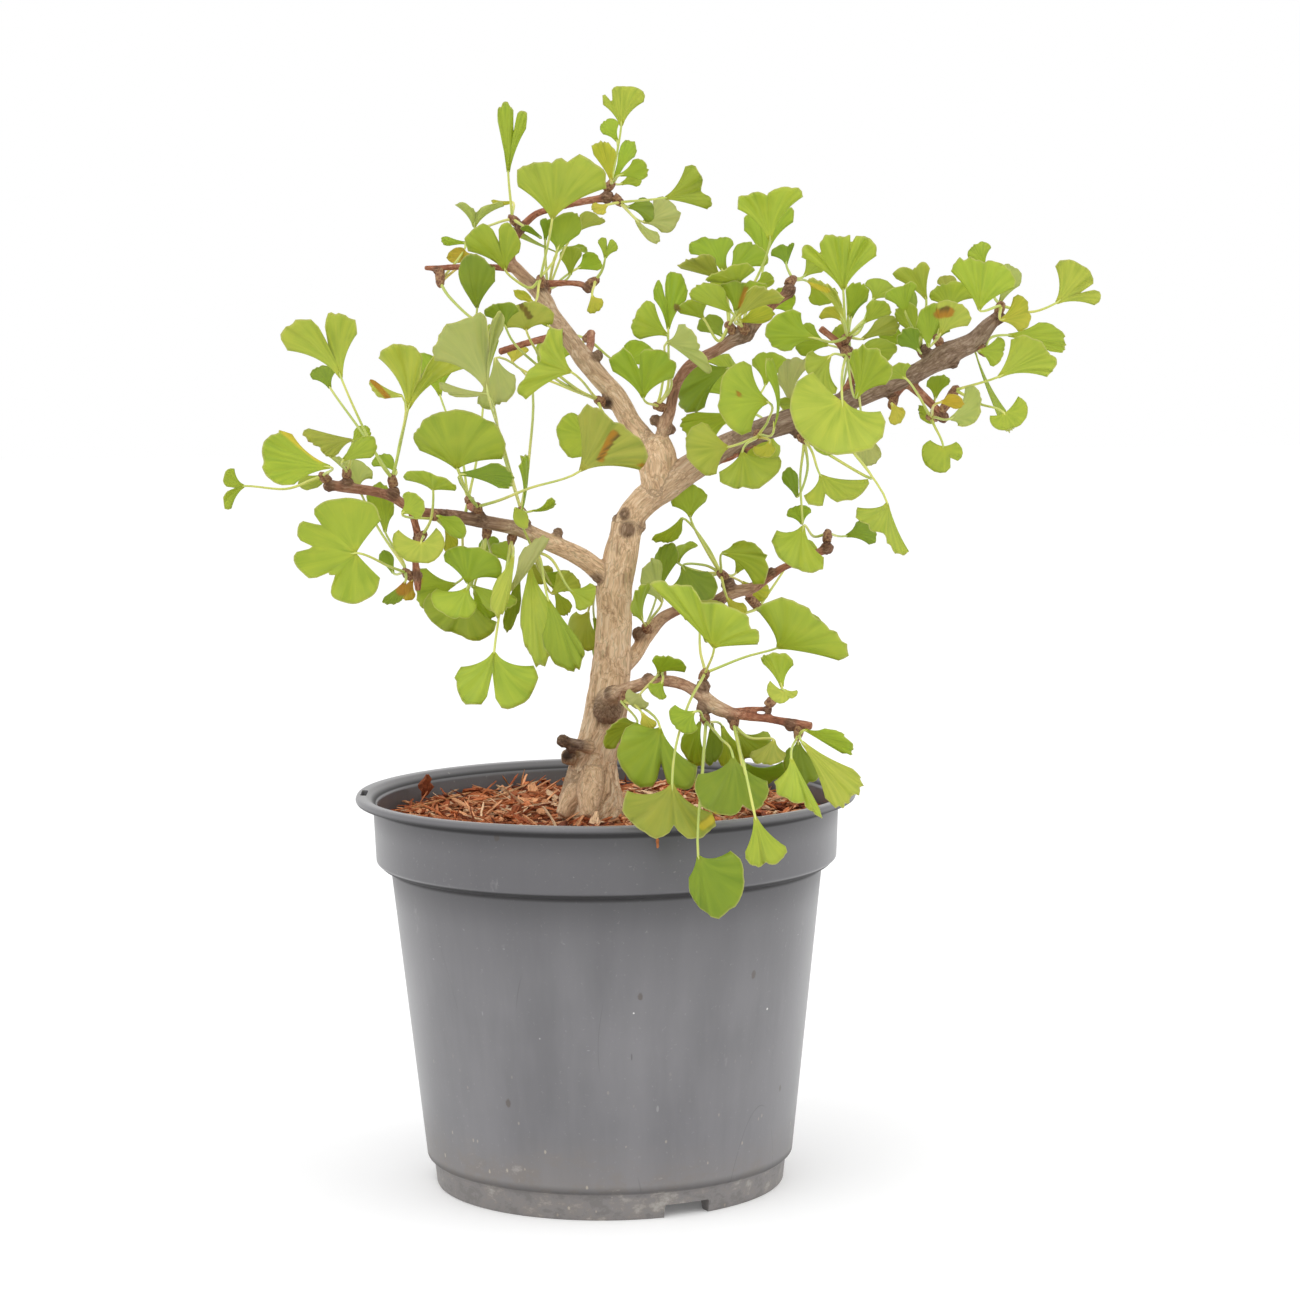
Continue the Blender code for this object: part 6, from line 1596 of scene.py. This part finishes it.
# Tufts of leaves: name, spur, the leaves of its solid, and the smaller ones that only the looks have.
# Each leaf starts with its base, left corner, middle of the margin and right corner in the reference
# view, and its depth from the spur in millimetres
FOLIAGE = [
    ("crown_tip", (607, 196, 20), [
        leaf((621, 126), (600, 101), (620, 88), (648, 98), -3, notch=-0.5, tone="fresh"),
        leaf((617, 141), (601, 133), (604, 122), (619, 122), 8),
        leaf((611, 180), (591, 150), (603, 141), (617, 153), -8, tone="yellow"),
        leaf((614, 181), (619, 150), (627, 139), (638, 152), 2),
        leaf((620, 175), (634, 158), (648, 168), (641, 181), -12),
    ], [
        leaf((621, 184), (628, 175), (640, 176), (638, 187), 10),
    ]),
    ("crown_right", (613, 199, 20), [
        leaf((665, 198), (689, 161), (700, 192), (711, 211), -14),
        leaf((628, 207), (641, 197), (654, 206), (648, 224), 6, tone="dark"),
        leaf((643, 222), (655, 197), (680, 213), (664, 234), 14, tone="pale"),
        leaf((636, 220), (639, 228), (655, 242), (660, 234), -6, tone="pale"),
    ], [
        leaf((607, 205), (594, 202), (592, 211), (606, 213), -6, tone="yellow"),
    ]),
    ("crown_left", (520, 225, 17), [
        leaf((508, 172), (496, 113), (512, 104), (529, 121), -4, notch=0.2),
        leaf((474, 227), (453, 204), (476, 214), (508, 203), -12, tone="pale"),
    ], [
        leaf((512, 202), (491, 199), (497, 206), (508, 204), 10, tone="yellow"),
        leaf((541, 238), (521, 230), (523, 226), (530, 226), -10, tone="dark"),
    ]),
    ("left_limb_front", (541, 287, 9), [
        leaf((552, 219), (511, 180), (552, 165), (614, 184), -16, tone="fresh"),
        leaf((505, 270), (463, 249), (493, 219), (521, 250), -10, notch=0.0,
             stalk=[(515, 280), (530, 288)]),
        leaf((556, 252), (511, 226), (507, 230), (511, 234), -8, spread=(-9, 0, 9)),
    ], [
        leaf((533, 303), (519, 300), (514, 291), (530, 296), -14, tone="yellow"),
    ]),
    ("left_limb_back", (547, 291, 20), [
        leaf((557, 250), (548, 238), (573, 213), (582, 232), 2),
        leaf((575, 232), (580, 213), (601, 216), (603, 224), 14, tone="olive"),
        leaf((570, 275), (558, 256), (572, 248), (583, 254), 10),
        leaf((578, 268), (583, 253), (600, 260), (600, 271), 18),
    ], [
        leaf((545, 240), (539, 221), (548, 220), (555, 222), 6, tone="dark"),
        leaf((563, 247), (581, 243), (587, 247), (582, 251), 22, spread=(-5, 0, 5)),
    ]),
    ("left_twig", (440, 283, 14), [
        leaf((477, 308), (458, 280), (470, 257), (497, 278), -14, stalk=[(472, 318), (450, 298)],
             tone="dark"),
        leaf((470, 255), (462, 247), (447, 258), (460, 263), 6, tone="orange"),
    ], [
        leaf((465, 243), (446, 236), (443, 240), (447, 246), 14),
    ]),
    ("right_twig", (591, 287, 14), [
        leaf((605, 258), (597, 241), (608, 238), (618, 250), -6, notch=0.0, stalk=[(602, 270)]),
    ], [
        leaf((592, 296), (586, 311), (596, 311), (603, 299), -10, tone="yellow"),
    ]),
    ("left_limb_low", (607, 402, 2), [
        leaf((571, 372), (517, 402), (537, 361), (561, 322), -20, tone="fresh"),
        leaf((505, 326), (483, 315), (498, 303), (520, 310), -34, stalk=[(520, 350), (560, 382)],
             tone="dark"),
        leaf((526, 330), (504, 328), (525, 303), (556, 323), -24, stalk=[(545, 362), (575, 388)],
             tone="olive"),
        leaf((592, 438), (580, 459), (554, 430), (576, 412), -12, stalk=[(603, 421)]),
        leaf((512, 362), (506, 352), (518, 346), (530, 350), 6, stalk=[(560, 385)], tone="yellow"),
    ], []),
    ("fork_knob", (655, 419, -4), [
        leaf((643, 398), (607, 366), (640, 343), (679, 373), -16, notch=-0.1),
        leaf((667, 335), (636, 340), (634, 318), (652, 300), -8, stalk=[(662, 385)]),
        leaf((668, 329), (652, 296), (670, 272), (688, 297), 4, notch=-0.3, stalk=[(668, 385)]),
        leaf((667, 342), (682, 320), (702, 348), (712, 376), -26, stalk=[(672, 385)], tone="pale"),
    ], []),
    ("upper_knob", (733, 335, -14), [
        leaf((770, 241), (733, 205), (768, 198), (808, 192), -12, stalk=[(758, 275)], tone="fresh"),
        leaf((722, 270), (685, 252), (712, 240), (735, 242), 4, stalk=[(728, 305)]),
        leaf((722, 279), (676, 268), (692, 256), (714, 256), -10, stalk=[(728, 308)], tone="olive"),
        leaf((740, 282), (704, 284), (720, 272), (757, 270), -20, stalk=[(738, 310)]),
        leaf((703, 318), (676, 312), (685, 300), (708, 300), -6, stalk=[(718, 341)]),
        leaf((722, 336), (697, 331), (705, 317), (724, 320), 8, tone="dark"),
    ], []),
    ("upper_knob_front", (742, 328, -20), [
        leaf((731, 312), (690, 300), (697, 286), (725, 290), -18),
        leaf((735, 311), (718, 285), (742, 281), (770, 288), -10),
        leaf((737, 317), (745, 290), (768, 287), (786, 300), -26, tone="olive"),
        leaf((741, 321), (754, 305), (775, 313), (760, 324), -6, tone="yellow"),
        leaf((730, 274), (733, 248), (753, 244), (768, 266), 2, stalk=[(736, 300)]),
    ], [
        leaf((755, 285), (762, 272), (773, 278), (767, 288), 12, stalk=[(748, 305)]),
    ]),
    ("upper_right", (790, 289, -16), [
        leaf((786, 264), (768, 254), (788, 246), (795, 243), 6, tone="dark"),
        leaf((804, 276), (806, 258), (822, 258), (824, 272), 14),
    ], [
        leaf((811, 284), (808, 300), (826, 304), (838, 288), 20),
    ]),
    ("right_knob_top", (845, 347, -20), [
        leaf((843, 290), (796, 252), (838, 236), (882, 250), -14, notch=-0.55, stalk=[(845, 325)],
             tone="fresh", slits=[(852, 238, 0.3)], cleft=0.2),
        leaf((842, 318), (806, 280), (825, 281), (840, 298), -24, tone="fresh"),
        leaf((848, 316), (845, 288), (860, 282), (869, 294), -2),
        leaf((841, 320), (818, 320), (832, 307), (842, 309), -4, tone="yellow"),
        leaf((814, 338), (790, 352), (767, 333), (800, 310), -12, stalk=[(832, 342)]),
        leaf((873, 299), (863, 284), (890, 283), (896, 300), 8, stalk=[(860, 330)]),
        leaf((865, 322), (866, 304), (885, 301), (890, 315), -8),
        leaf((862, 339), (876, 320), (895, 321), (894, 336), 2, tone="olive"),
    ], [
        leaf((851, 318), (848, 297), (858, 286), (869, 299), 16, tone="dark"),
        leaf((866, 318), (868, 302), (884, 304), (888, 322), 20),
    ]),
    ("right_knob_low", (846, 355, -26), [
        leaf((838, 397), (805, 366), (853, 452), (859, 349), -34, stalk=[(842, 374)], tone="fresh",
             shape=((842, 400), (809, 368), (847, 455), (887, 413))),
        leaf((830, 356), (809, 350), (812, 378), (838, 394), -14, tone="fresh"),
        leaf((859, 352), (866, 342), (896, 347), (880, 363), -4),
        leaf((862, 425), (852, 445), (866, 468), (882, 452), 4, stalk=[(855, 385)], tone="pale"),
    ], [
        leaf((856, 398), (848, 356), (874, 346), (891, 382), -20),
        leaf((846, 352), (834, 344), (836, 328), (851, 328), 12),
    ]),
    ("limb_knob", (765, 436, -10), [
        leaf((728, 447), (706, 421), (686, 446), (715, 477), -14, tone="fresh"),
        leaf((742, 452), (716, 476), (746, 490), (783, 457), -24),
        leaf((768, 402), (747, 437), (719, 392), (748, 360), -34, stalk=[(768, 420)]),
        leaf((774, 428), (765, 366), (768, 362), (772, 368), -28, spread=(-8, 0, 8)),
    ], [
        leaf((770, 442), (752, 447), (762, 457), (776, 448), -12, tone="yellow"),
    ]),
    ("limb_knob_back", (752, 426, -2), [
        leaf((728, 368), (698, 358), (673, 395), (700, 413), 8, stalk=[(745, 395)], tone="dark"),
        leaf((735, 415), (690, 412), (682, 430), (712, 440), 14, tone="fresh"),
        leaf((735, 379), (700, 360), (720, 355), (738, 368), 20, stalk=[(748, 400)]),
        leaf((790, 402), (776, 380), (787, 359), (808, 364), 6, stalk=[(772, 418)], tone="pale"),
        leaf((812, 400), (782, 397), (780, 405), (795, 413), -16, stalk=[(790, 420)]),
    ], []),
    ("limb_spur", (800, 436, -16), [
        leaf((820, 475), (801, 500), (843, 505), (868, 479), -18, notch=-0.3, stalk=[(812, 452)],
             tone="fresh"),
        leaf((797, 497), (781, 480), (788, 465), (798, 478), -6, stalk=[(808, 470)], tone="dark"),
        leaf((887, 503), (852, 508), (880, 534), (911, 558), -24, stalk=[(852, 452), (870, 478)],
             tone="fresh"),
        leaf((825, 430), (812, 434), (826, 456), (836, 446), -30, tone="fresh"),
    ], [
        leaf((802, 524), (785, 516), (797, 507), (812, 511), 4, stalk=[(800, 480)]),
    ]),
    ("right_spur_low", (943, 415, -30), [
        leaf((943, 446), (928, 439), (940, 474), (958, 441), -8, notch=0.35),
        leaf((950, 419), (968, 383), (982, 403), (960, 427), -14, tone="pale"),
        leaf((937, 419), (921, 404), (920, 413), (934, 423), 9),
        leaf((905, 378), (876, 385), (888, 370), (912, 365), -16, stalk=[(918, 395)]),
        leaf((935, 398), (925, 385), (942, 375), (951, 382), 8),
    ], [
        leaf((941, 402), (948, 394), (965, 402), (955, 409), -24, tone="orange"),
    ]),
    ("right_end_under", (955, 390, -31), [
        leaf((998, 377), (1012, 337), (1047, 352), (1052, 376), -10, tone="fresh"),
        leaf((1004, 413), (988, 416), (1012, 428), (1020, 394), -20, stalk=[(980, 404)]),
    ], []),
    ("right_end_hanging", (975, 341, -34), [
        leaf((975, 352), (1001, 426), (1007, 428), (1009, 422), -8, spread=(-10, 0, 10)),
        leaf((979, 351), (1000, 336), (1004, 352), (991, 367), -2),
        leaf((1008, 335), (1042, 321), (1064, 344), (1056, 354), 6, stalk=[(990, 338)]),
    ], []),
    ("right_end_tip", (999, 321, -35), [
        leaf((979, 310), (947, 268), (984, 263), (1019, 285), -12, tone="fresh"),
        leaf((1000, 302), (998, 268), (1010, 268), (1021, 284), 4, tone="pale"),
        leaf((984, 266), (967, 258), (974, 245), (992, 245), 8, stalk=[(993, 295)]),
        leaf((1001, 320), (1015, 293), (1029, 310), (1020, 333), -8, tone="yellow"),
        leaf((1056, 303), (1055, 261), (1092, 275), (1099, 306), -4, notch=0.35, stalk=[(1030, 312)],
             tone="fresh"),
    ], []),
    ("right_bud_top", (930, 344, -28), [
        leaf((928, 346), (914, 330), (928, 303), (945, 310), -12),
        leaf((940, 334), (935, 305), (955, 301), (972, 324), -20, tone="fresh"),
        leaf((938, 341), (919, 336), (930, 322), (952, 330), 4, tone="dark"),
        leaf((950, 309), (928, 299), (942, 285), (976, 297), -6, stalk=[(940, 332)]),
    ], [
        leaf((946, 293), (936, 282), (946, 276), (958, 282), 14, stalk=[(940, 325)], tone="olive"),
        leaf((934, 338), (917, 331), (920, 317), (936, 316), 16),
    ]),
    ("right_bud_left", (920, 349, -24), [
        leaf((926, 299), (890, 275), (912, 268), (930, 263), -8, stalk=[(922, 330)], tone="fresh"),
        leaf((905, 312), (882, 297), (900, 286), (918, 283), -16, stalk=[(916, 335)]),
        leaf((921, 341), (897, 322), (900, 308), (917, 305), 2),
        leaf((919, 351), (898, 346), (903, 330), (920, 330), -18, tone="dark"),
    ], [
        leaf((914, 330), (894, 302), (903, 286), (918, 297), 14, tone="dark"),
        leaf((912, 345), (884, 345), (880, 331), (894, 322), 10),
    ]),
    ("right_short_twig", (893, 399, -23), [
        leaf((892, 404), (888, 421), (899, 424), (904, 408), -6, tone="yellow"),
    ], []),
    ("left_end", (328, 485, -20), [
        leaf((244, 486), (232, 465), (224, 489), (229, 512), -10, notch=0.0, stalk=[(285, 489)]),
        leaf((330, 467), (286, 428), (264, 458), (287, 488), -20),
        leaf((328, 474), (301, 475), (300, 489), (322, 484), 4, tone="olive"),
    ], []),
    ("left_end_top", (346, 480, -19), [
        leaf((352, 440), (301, 428), (318, 447), (335, 457), -8, stalk=[(350, 462)], tone="olive"),
        leaf((343, 460), (352, 443), (372, 438), (373, 458), -16),
    ], [
        leaf((352, 444), (354, 430), (366, 428), (370, 438), 8, stalk=[(351, 462)]),
    ]),
    ("left_spur_top", (393, 489, -17), [
        leaf((341, 378), (278, 346), (318, 314), (360, 325), -16, notch=0.0, stalk=[(358, 417), (380, 462)],
             tone="fresh"),
        leaf((408, 409), (374, 352), (424, 349), (471, 362), -6, notch=0.1, stalk=[(399, 450)],
             tone="fresh"),
        leaf((402, 396), (371, 379), (370, 389), (382, 399), -18, stalk=[(397, 450)], tone="fresh"),
        leaf((396, 471), (370, 466), (380, 457), (393, 457), 6),
        leaf((330, 388), (310, 378), (318, 366), (336, 370), 12, stalk=[(360, 430)], tone="dark"),
    ], []),
    ("left_spur_middle", (478, 515, -12), [
        leaf((457, 469), (415, 449), (432, 414), (508, 457), -14, stalk=[(468, 495)]),
        leaf((460, 474), (494, 462), (514, 477), (503, 490), -24, tone="dark"),
        leaf((580, 471), (577, 408), (614, 422), (649, 470), -26, stalk=[(530, 488), (500, 500)],
             tone="olive"),
    ], []),
    ("left_spur_high", (522, 520, -9), [
        leaf((487, 390), (428, 357), (478, 311), (506, 318), -30, notch=0.3, stalk=[(500, 440), (515, 495)],
             tone="pale"),
        leaf((487, 394), (440, 381), (450, 392), (468, 396), -14, stalk=[(502, 450)], tone="pale"),
        leaf((495, 358), (475, 403), (500, 405), (518, 378), -2, stalk=[(530, 385), (528, 460)],
             tone="pale"),
        leaf((522, 511), (519, 461), (523, 457), (526, 462), -12, spread=(-8, 0, 8)),
    ], [
        leaf((532, 511), (549, 498), (554, 503), (550, 508), -20, spread=(-6, 0, 6)),
    ]),
    ("left_hanging_tip", (417, 577, -17), [
        leaf((357, 553), (385, 515), (294, 560), (384, 582), -20, notch=0.3, stalk=[(388, 566)],
             slits=[(313, 520, 0.3), (296, 546, 0.3), (316, 590, 0.3)]),
        leaf((358, 488), (320, 448), (343, 461), (375, 476), -6, stalk=[(378, 528), (403, 565)],
             tone="pale"),
        leaf((393, 573), (378, 560), (384, 550), (394, 558), 10, tone="dark"),
        leaf((405, 582), (381, 600), (392, 605), (404, 597), -8, tone="dark"),
        leaf((385, 532), (365, 500), (380, 484), (394, 513), 2, stalk=[(402, 560)]),
    ], [
        leaf((412, 580), (398, 588), (404, 599), (416, 596), 8, tone="orange"),
    ]),
    ("left_hanging_spur", (421, 537, -15), [
        leaf((433, 490), (400, 480), (430, 474), (458, 493), -16, stalk=[(431, 518)]),
        leaf((421, 542), (395, 528), (416, 562), (438, 526), -18, tone="fresh"),
    ], []),
    ("left_branch_under", (440, 516, -14), [
        leaf((402, 513), (402, 494), (422, 499), (417, 520), -22, stalk=[(425, 520)]),
        leaf((438, 516), (447, 532), (468, 537), (458, 516), -4),
    ], [
        leaf((446, 530), (443, 549), (451, 551), (458, 538), 4, tone="yellow"),
    ]),
    ("left_middle_hanging", (487, 531, -10), [
        leaf((467, 583), (441, 557), (468, 545), (504, 578), -4, stalk=[(477, 560)]),
        leaf((467, 588), (431, 588), (456, 618), (478, 605), -14, stalk=[(479, 563)], tone="fresh"),
        leaf((472, 586), (484, 608), (508, 610), (515, 595), -10, stalk=[(482, 563)]),
        leaf((468, 590), (422, 594), (452, 630), (500, 627), 4, stalk=[(480, 560)]),
    ], [
        leaf((455, 584), (422, 565), (419, 592), (434, 614), 12, stalk=[(478, 560)]),
        leaf((474, 592), (472, 616), (490, 619), (501, 600), 10, stalk=[(482, 562)]),
        leaf((492, 556), (478, 548), (486, 538), (500, 540), 14, tone="dark"),
    ]),
    ("left_middle_long", (512, 531, -7), [
        leaf((494, 652), (456, 669), (490, 716), (540, 668), -22, notch=0.0, stalk=[(499, 615), (506, 570)],
             tone="fresh", cleft=0.62),
        leaf((508, 592), (520, 552), (550, 533), (537, 557), -12, stalk=[(508, 560)], tone="pale"),
        leaf((512, 564), (486, 556), (498, 542), (515, 546), 10),
    ], [
        leaf((513, 556), (495, 582), (498, 617), (510, 598), -18, tone="fresh"),
    ]),
    ("left_inner_low", (528, 531, -5), [
        leaf((520, 570), (503, 618), (508, 634), (521, 604), 8, tone="dark"),
        leaf((530, 568), (521, 606), (542, 671), (554, 610), -12, tone="fresh"),
        leaf((548, 600), (541, 641), (574, 669), (585, 648), -22, stalk=[(540, 560)]),
        leaf((541, 573), (548, 585), (567, 590), (560, 571), 12),
        leaf((570, 590), (576, 610), (592, 602), (592, 582), -6, stalk=[(552, 560)], tone="fresh"),
    ], [
        leaf((528, 562), (528, 580), (545, 583), (552, 566), 12, tone="olive"),
        leaf((552, 594), (556, 572), (572, 573), (579, 592), 6, tone="fresh"),
        leaf((555, 592), (556, 612), (568, 616), (571, 602), 16),
        leaf((515, 508), (513, 517), (528, 530), (525, 512), -22),
    ]),
    ("trunk_left_back", (594, 590, 12), [
        leaf((588, 612), (574, 612), (582, 650), (600, 640), 14, tone="olive"),
        leaf((594, 618), (590, 645), (604, 668), (612, 640), 26, tone="dark"),
    ], []),
    ("back_branch_knob", (727, 580, 22), [
        leaf((690, 517), (670, 505), (692, 485), (708, 500), -4, stalk=[(705, 548)]),
        leaf((682, 518), (650, 536), (665, 541), (682, 532), 6, stalk=[(706, 545)]),
        leaf((678, 563), (663, 565), (676, 549), (700, 546), 10, stalk=[(702, 572)]),
        leaf((682, 566), (668, 590), (708, 606), (712, 572), -8, stalk=[(705, 566)], tone="dark"),
        leaf((722, 553), (735, 542), (764, 557), (757, 588), -8),
        leaf((742, 582), (749, 600), (764, 598), (766, 582), 12, tone="yellow"),
        leaf((727, 598), (728, 618), (742, 622), (746, 604), -4, tone="yellow"),
    ], [
        leaf((712, 576), (690, 569), (683, 586), (700, 597), 22),
        leaf((736, 573), (733, 556), (749, 551), (759, 566), 16),
    ]),
    ("back_branch_tip", (829, 545, 30), [
        leaf((803, 526), (772, 531), (797, 570), (826, 563), -10, stalk=[(815, 538)], tone="fresh"),
        leaf((846, 536), (858, 520), (874, 528), (872, 546), 18, tone="dark"),
    ], []),
    ("trunk_bud", (645, 629, 8), [
        leaf((662, 602), (643, 592), (650, 560), (663, 564), -6, tone="pale"),
        leaf((642, 620), (631, 615), (633, 590), (650, 582), -12),
    ], [
        leaf((656, 598), (653, 562), (668, 545), (680, 557), 14, tone="dark"),
    ]),
    ("low_neck", (703, 677, -56), [
        leaf((714, 648), (645, 583), (709, 605), (760, 650), -14, tone="fresh"),
        leaf((785, 646), (752, 604), (838, 622), (835, 668), -6, stalk=[(745, 657)],
             shape=((777, 648), (752, 605), (818, 625), (848, 662))),
        leaf((672, 784), (620, 792), (675, 839), (720, 818), -20, notch=0.0, stalk=[(676, 745), (688, 705)],
             tone="olive", cleft=0.15, nearer=34),
        leaf((700, 627), (683, 620), (705, 600), (738, 622), 16, stalk=[(700, 650)], tone="olive"),
    ], []),
    ("low_twig_back", (648, 674, -32), [
        leaf((658, 672), (651, 660), (668, 656), (688, 672), -8),
    ], [
        leaf((662, 682), (648, 683), (655, 697), (667, 698), -16),
        leaf((640, 694), (628, 688), (632, 706), (650, 704), -10, tone="pale"),
    ]),
    ("low_collar", (611, 690, -16), [
        leaf((660, 728), (632, 722), (640, 789), (702, 770), -30, notch=0.3, stalk=[(634, 704)]),
        leaf((637, 724), (626, 718), (608, 732), (610, 752), -20, stalk=[(622, 704)]),
    ], [
        leaf((642, 713), (640, 724), (650, 730), (657, 722), -28, tone="yellow"),
    ]),
    ("low_fork", (704, 714, -58), [
        leaf((733, 757), (694, 773), (738, 820), (769, 778), -16, notch=0.15, stalk=[(720, 738)],
             tone="dark", cleft=0.1, nearer=42, shape=((733, 757), (692, 777), (736, 819), (771, 784))),
        leaf((698, 856), (688, 880), (718, 919), (735, 850), -34, stalk=[(702, 765), (698, 815)],
             tone="dark"),
        leaf((712, 724), (704, 760), (714, 764), (723, 742), 8, tone="dark"),
        leaf((694, 712), (672, 704), (674, 726), (698, 730), -20),
    ], [
        leaf((722, 726), (716, 760), (734, 767), (747, 750), 14, tone="fresh"),
        leaf((700, 722), (682, 735), (688, 764), (706, 762), 12),
    ]),
    ("low_end_front", (733, 724, -64), [
        leaf((755, 817), (743, 858), (765, 863), (789, 850), -44, stalk=[(741, 755), (747, 790)]),
        leaf((745, 764), (748, 777), (770, 784), (789, 762), 6, tone="dark"),
        leaf((774, 740), (748, 754), (764, 764), (787, 754), -10, stalk=[(750, 738)], tone="olive"),
    ], [
        leaf((737, 732), (738, 756), (762, 754), (768, 731), 14),
    ]),
    ("low_end", (792, 726, -74), [
        leaf((805, 730), (848, 757), (850, 744), (828, 728), -4),
        leaf((802, 742), (860, 773), (852, 797), (828, 806), -14, tone="fresh"),
        leaf((798, 742), (788, 748), (803, 785), (822, 764), 8, tone="dark"),
        leaf((791, 758), (771, 786), (800, 804), (824, 817), -22, tone="fresh"),
    ], []),
    ("low_upper_twig", (769, 706, -70), [
        leaf((782, 687), (760, 660), (770, 652), (795, 661), -4, tone="fresh"),
    ], [
        leaf((784, 690), (768, 679), (790, 698), (799, 690), -12, tone="fresh"),
    ]),
    ("back_right", (748, 409, 45), [
        leaf((735, 400), (706, 392), (712, 372), (732, 362), 4),
        leaf((768, 425), (782, 450), (758, 464), (744, 448), 12),
        leaf((722, 425), (704, 452), (690, 436), (696, 416), 8),
        leaf((765, 385), (750, 362), (772, 354), (790, 366), 18),
    ], []),
    ("back_crown", (757, 305, 31), [
        leaf((764, 262), (742, 228), (768, 212), (798, 216), 6),
        leaf((726, 270), (700, 260), (706, 246), (730, 244), 12),
        leaf((738, 298), (708, 299), (710, 284), (732, 279), 18),
        leaf((772, 308), (776, 288), (792, 294), (788, 312), 16),
    ], []),
    ("back_knob", (852, 352, -17), [
        leaf((846, 284), (816, 262), (842, 242), (870, 256), 24),
        leaf((842, 392), (820, 398), (836, 428), (856, 402), 22),
        leaf((828, 345), (806, 358), (796, 338), (812, 322), 28),
    ], []),
    ("back_left", (591, 332, 49), [
        leaf((572, 352), (548, 374), (536, 352), (554, 332), 4),
        leaf((622, 364), (624, 344), (650, 346), (656, 368), 8),
        leaf((548, 326), (512, 326), (528, 306), (550, 308), 14),
    ], []),
    ("back_low_left", (470, 505, 33), [
        leaf((456, 462), (424, 444), (440, 416), (480, 440), 4),
        leaf((440, 396), (398, 364), (430, 354), (458, 364), 10, stalk=[(460, 450)]),
        leaf((484, 386), (452, 358), (480, 326), (500, 336), 18, stalk=[(478, 450)]),
        leaf((466, 576), (450, 560), (470, 550), (490, 568), 10, stalk=[(464, 530)]),
    ], []),
    ("back_low", (749, 595, 43), [
        leaf((790, 645), (764, 614), (802, 610), (828, 650), 8, stalk=[(770, 622)]),
        leaf((706, 642), (668, 600), (702, 600), (738, 628), 4, stalk=[(728, 618)]),
        leaf((790, 560), (776, 536), (800, 538), (820, 556), 12),
    ], []),
]


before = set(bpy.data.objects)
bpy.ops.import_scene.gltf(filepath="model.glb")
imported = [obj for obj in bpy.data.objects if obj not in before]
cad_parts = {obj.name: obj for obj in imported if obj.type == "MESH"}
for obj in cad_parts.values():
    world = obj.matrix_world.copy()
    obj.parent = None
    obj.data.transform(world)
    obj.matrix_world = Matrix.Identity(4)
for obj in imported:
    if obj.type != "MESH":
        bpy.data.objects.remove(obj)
solid_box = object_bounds()
make_camera()
make_stage()
make_pot()
make_soil()
make_mulch()
make_wood(solid_box)
make_foliage(solid_box)
